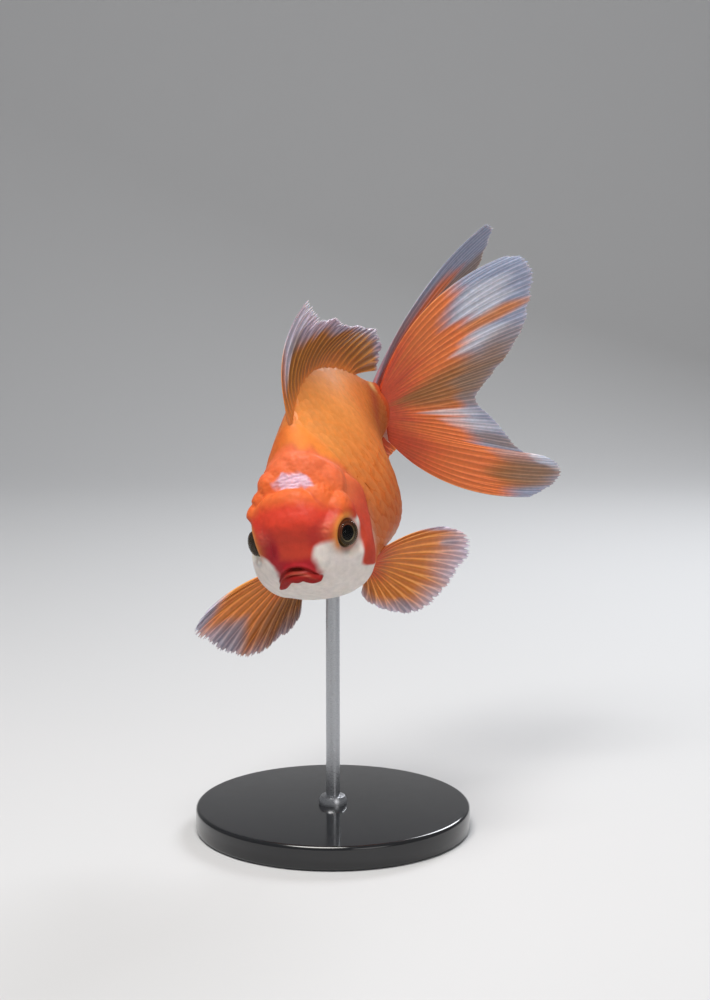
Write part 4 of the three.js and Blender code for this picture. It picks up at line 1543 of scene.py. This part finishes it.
# %% The pelvic and the anal fins
PELVIC = ((0, 24, -26, 21, 14), (0.3, 21, -32, 23, 10), (0.6, 14, -40, 20, 6), (1, 6, -50, 13))
ANAL = ((0, 14, -60, 14, 20), (0.3, 15, -56, 13, 12), (0.6, 15, -48, 8.5, 6), (1, 36, -51, 8.6))
SMALL_LOOK = {**PECTORAL_LOOK, "rays": 9, "root": 1.2, "ridge": 0.32, "pleat": 0.15, "sway": 0.3}
pelvic_paint = fin_paint(
    FIN_RED, FIN_ORANGE, FIN_LAVENDER, pectoral_change, 0.12, (), PAIRED_RAY_HIGHLIGHT, valley_shade=0.25)
anal_paint = fin_paint(FIN_RED, FIN_RED, FIN_ORANGE, pectoral_change, 0.3, (), PAIRED_RAY_HIGHLIGHT, valley_shade=0.25)


def mirrored(rays, side):
    return [(share, turn * side, *rest) for share, turn, *rest in rays]


for name, side in SIDES.items():
    pelvic_root = straight((9 * side, 48, -28), (4 * side, 53, -29.5))
    pelvic_look = {**SMALL_LOOK, "seed": 3 + side}
    make_fin(f"pelvic_{name}", fin_sheet(mirrored(PELVIC, side), pelvic_root), pelvic_look,
             pelvic_paint, (f"pelvic_fin_{name}",), (110, 50))
    anal_root = straight((2.5 * side, 82, -16.5), (2.4 * side, 100, -9.5))
    anal_look = {**SMALL_LOOK, "seed": 7 + side}
    make_fin(f"anal_{name}", fin_sheet(mirrored(ANAL, side), anal_root), anal_look,
             anal_paint, (f"anal_fin_{name}",), (100, 44))

# %% [markdown]
# ## The stand
# A museum holds such a model on one thin rod over a flat base. The base is a turned disc of polished dark
# acrylic, so its half section is spun round the axis. The rod is brushed steel and stands in a small
# collar.

# %% The stand
BASE_RADIUS, BASE_HEIGHT = 50 * MM, 9 * MM
BASE_EDGE = 1.4 * MM
ROD_RADIUS = 2.5 * MM
BRUSH_MARKS = (900, 900, 9000)  # waves to the metre, the finest up the rod
# half sections in millimetres, as distances from the axis and heights
COLLAR = ((0, 0), (5.2, 0), (5.2, 1.6), (4.4, 3.0), (3.0, 3.4), (0, 3.4))


def turned(name, profile, steps=96):
    """A closed shape spun from a half section of (radius, height) pairs in metres."""
    bm = bmesh.new()
    ring = [bm.verts.new((radius, 0, height)) for radius, height in profile]
    edges = [bm.edges.new(pair) for pair in zip(ring, ring[1:])]
    bmesh.ops.spin(bm, geom=ring + edges, cent=(0, 0, 0), axis=(0, 0, 1), angle=2 * math.pi,
                   steps=steps, use_merge=True)
    bmesh.ops.remove_doubles(bm, verts=bm.verts, dist=1e-6)
    bmesh.ops.dissolve_degenerate(bm, edges=bm.edges, dist=1e-7)
    bmesh.ops.recalc_face_normals(bm, faces=bm.faces)
    return mesh_from(bm, name)


def rounded(width, height, edge, steps=5):
    """A half section of a disc with rounded edges."""
    turns = [math.pi / 2 * i / steps for i in range(steps + 1)]
    low = [(width - edge + edge * math.sin(t), edge - edge * math.cos(t)) for t in turns]
    high = [(width - edge + edge * math.cos(t), height - edge + edge * math.sin(t)) for t in turns]
    return [(0, 0), *low, *high, (0, height)]


base_finish, nodes, links, shader = finish(
    "polished_acrylic", Base_Color=rgba("16171a"), Roughness=0.12, Coat_Weight=0.4, Coat_Roughness=0.04)
links.new(spread(nodes, links, noise_node(nodes, links, 240), 0.09, 0.2), shader.inputs["Roughness"])
disc = turned("stand_disc", rounded(BASE_RADIUS, BASE_HEIGHT, BASE_EDGE))
base = show("stand_disc", disc, base_finish, "base", "stand_base")

rod_finish, nodes, links, shader = finish(
    "brushed_rod", Base_Color=rgba("b4b6ba"), Metallic=1.0, Roughness=0.3)
at = node(nodes, "TexCoord")
stretch = node(nodes, "Mapping")
stretch.inputs["Scale"].default_value = BRUSH_MARKS
links.new(at.outputs["Object"], stretch.inputs["Vector"])
brush = node(nodes, "TexNoise", Scale=1, Detail=2)
links.new(stretch.outputs["Vector"], brush.inputs["Vector"])
links.new(spread(nodes, links, brush.outputs["Fac"], 0.22, 0.42), shader.inputs["Roughness"])
rod_low, rod_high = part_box("stand_rod")
rod_profile = [(0, rod_low.z), (ROD_RADIUS, rod_low.z), (ROD_RADIUS, rod_high.z), (0, rod_high.z)]
rod = show("stand_rod_finished", turned("stand_rod_finished", rod_profile), rod_finish, "rod", "stand_rod")
collar_profile = [(radius * MM, BASE_HEIGHT + height * MM) for radius, height in COLLAR]
collar = show("stand_collar", turned("stand_collar", collar_profile), rod_finish, "rod")
for piece in (base, rod, collar):
    piece.data.set_sharp_from_angle(angle=math.radians(35))

# %% [markdown]
# ## The floor
# The model stands on a plain pale floor that sweeps up behind it into a wall, so that no corner shows.

# %% The floor
FLOOR_HALF, FLOOR_FRONT, FLOOR_BACK = 2.5, -1.6, 0.75
SWEEP, SWEEP_STEPS, WALL = 0.5, 16, 1.6

bm = bmesh.new()
line = [(FLOOR_FRONT, 0.0), (FLOOR_BACK, 0.0)]
line += [
    (FLOOR_BACK + SWEEP * math.sin(t), SWEEP - SWEEP * math.cos(t))
    for t in (math.pi / 2 * i / SWEEP_STEPS for i in range(1, SWEEP_STEPS + 1))
]
line.append((FLOOR_BACK + SWEEP, WALL))
strip = [bm.verts.new((-FLOOR_HALF, y, z)) for y, z in line]
edges = [bm.edges.new(pair) for pair in zip(strip, strip[1:])]
wide = bmesh.ops.extrude_edge_only(bm, edges=edges)
far_side = [v for v in wide["geom"] if isinstance(v, bmesh.types.BMVert)]
bmesh.ops.translate(bm, verts=far_side, vec=(2 * FLOOR_HALF, 0, 0))
bmesh.ops.recalc_face_normals(bm, faces=bm.faces)
floor_mesh = mesh_from(bm, "floor")
floor_mesh.shade_smooth()
floor_finish, nodes, links, shader = finish("pale_floor", Base_Color=rgba("cfd0d2"), Roughness=0.7)
floor_mesh.materials.append(floor_finish)
floor = bpy.data.objects.new("floor", floor_mesh)
bpy.context.scene.collection.objects.link(floor)
print("floor vertices:", len(floor_mesh.vertices))
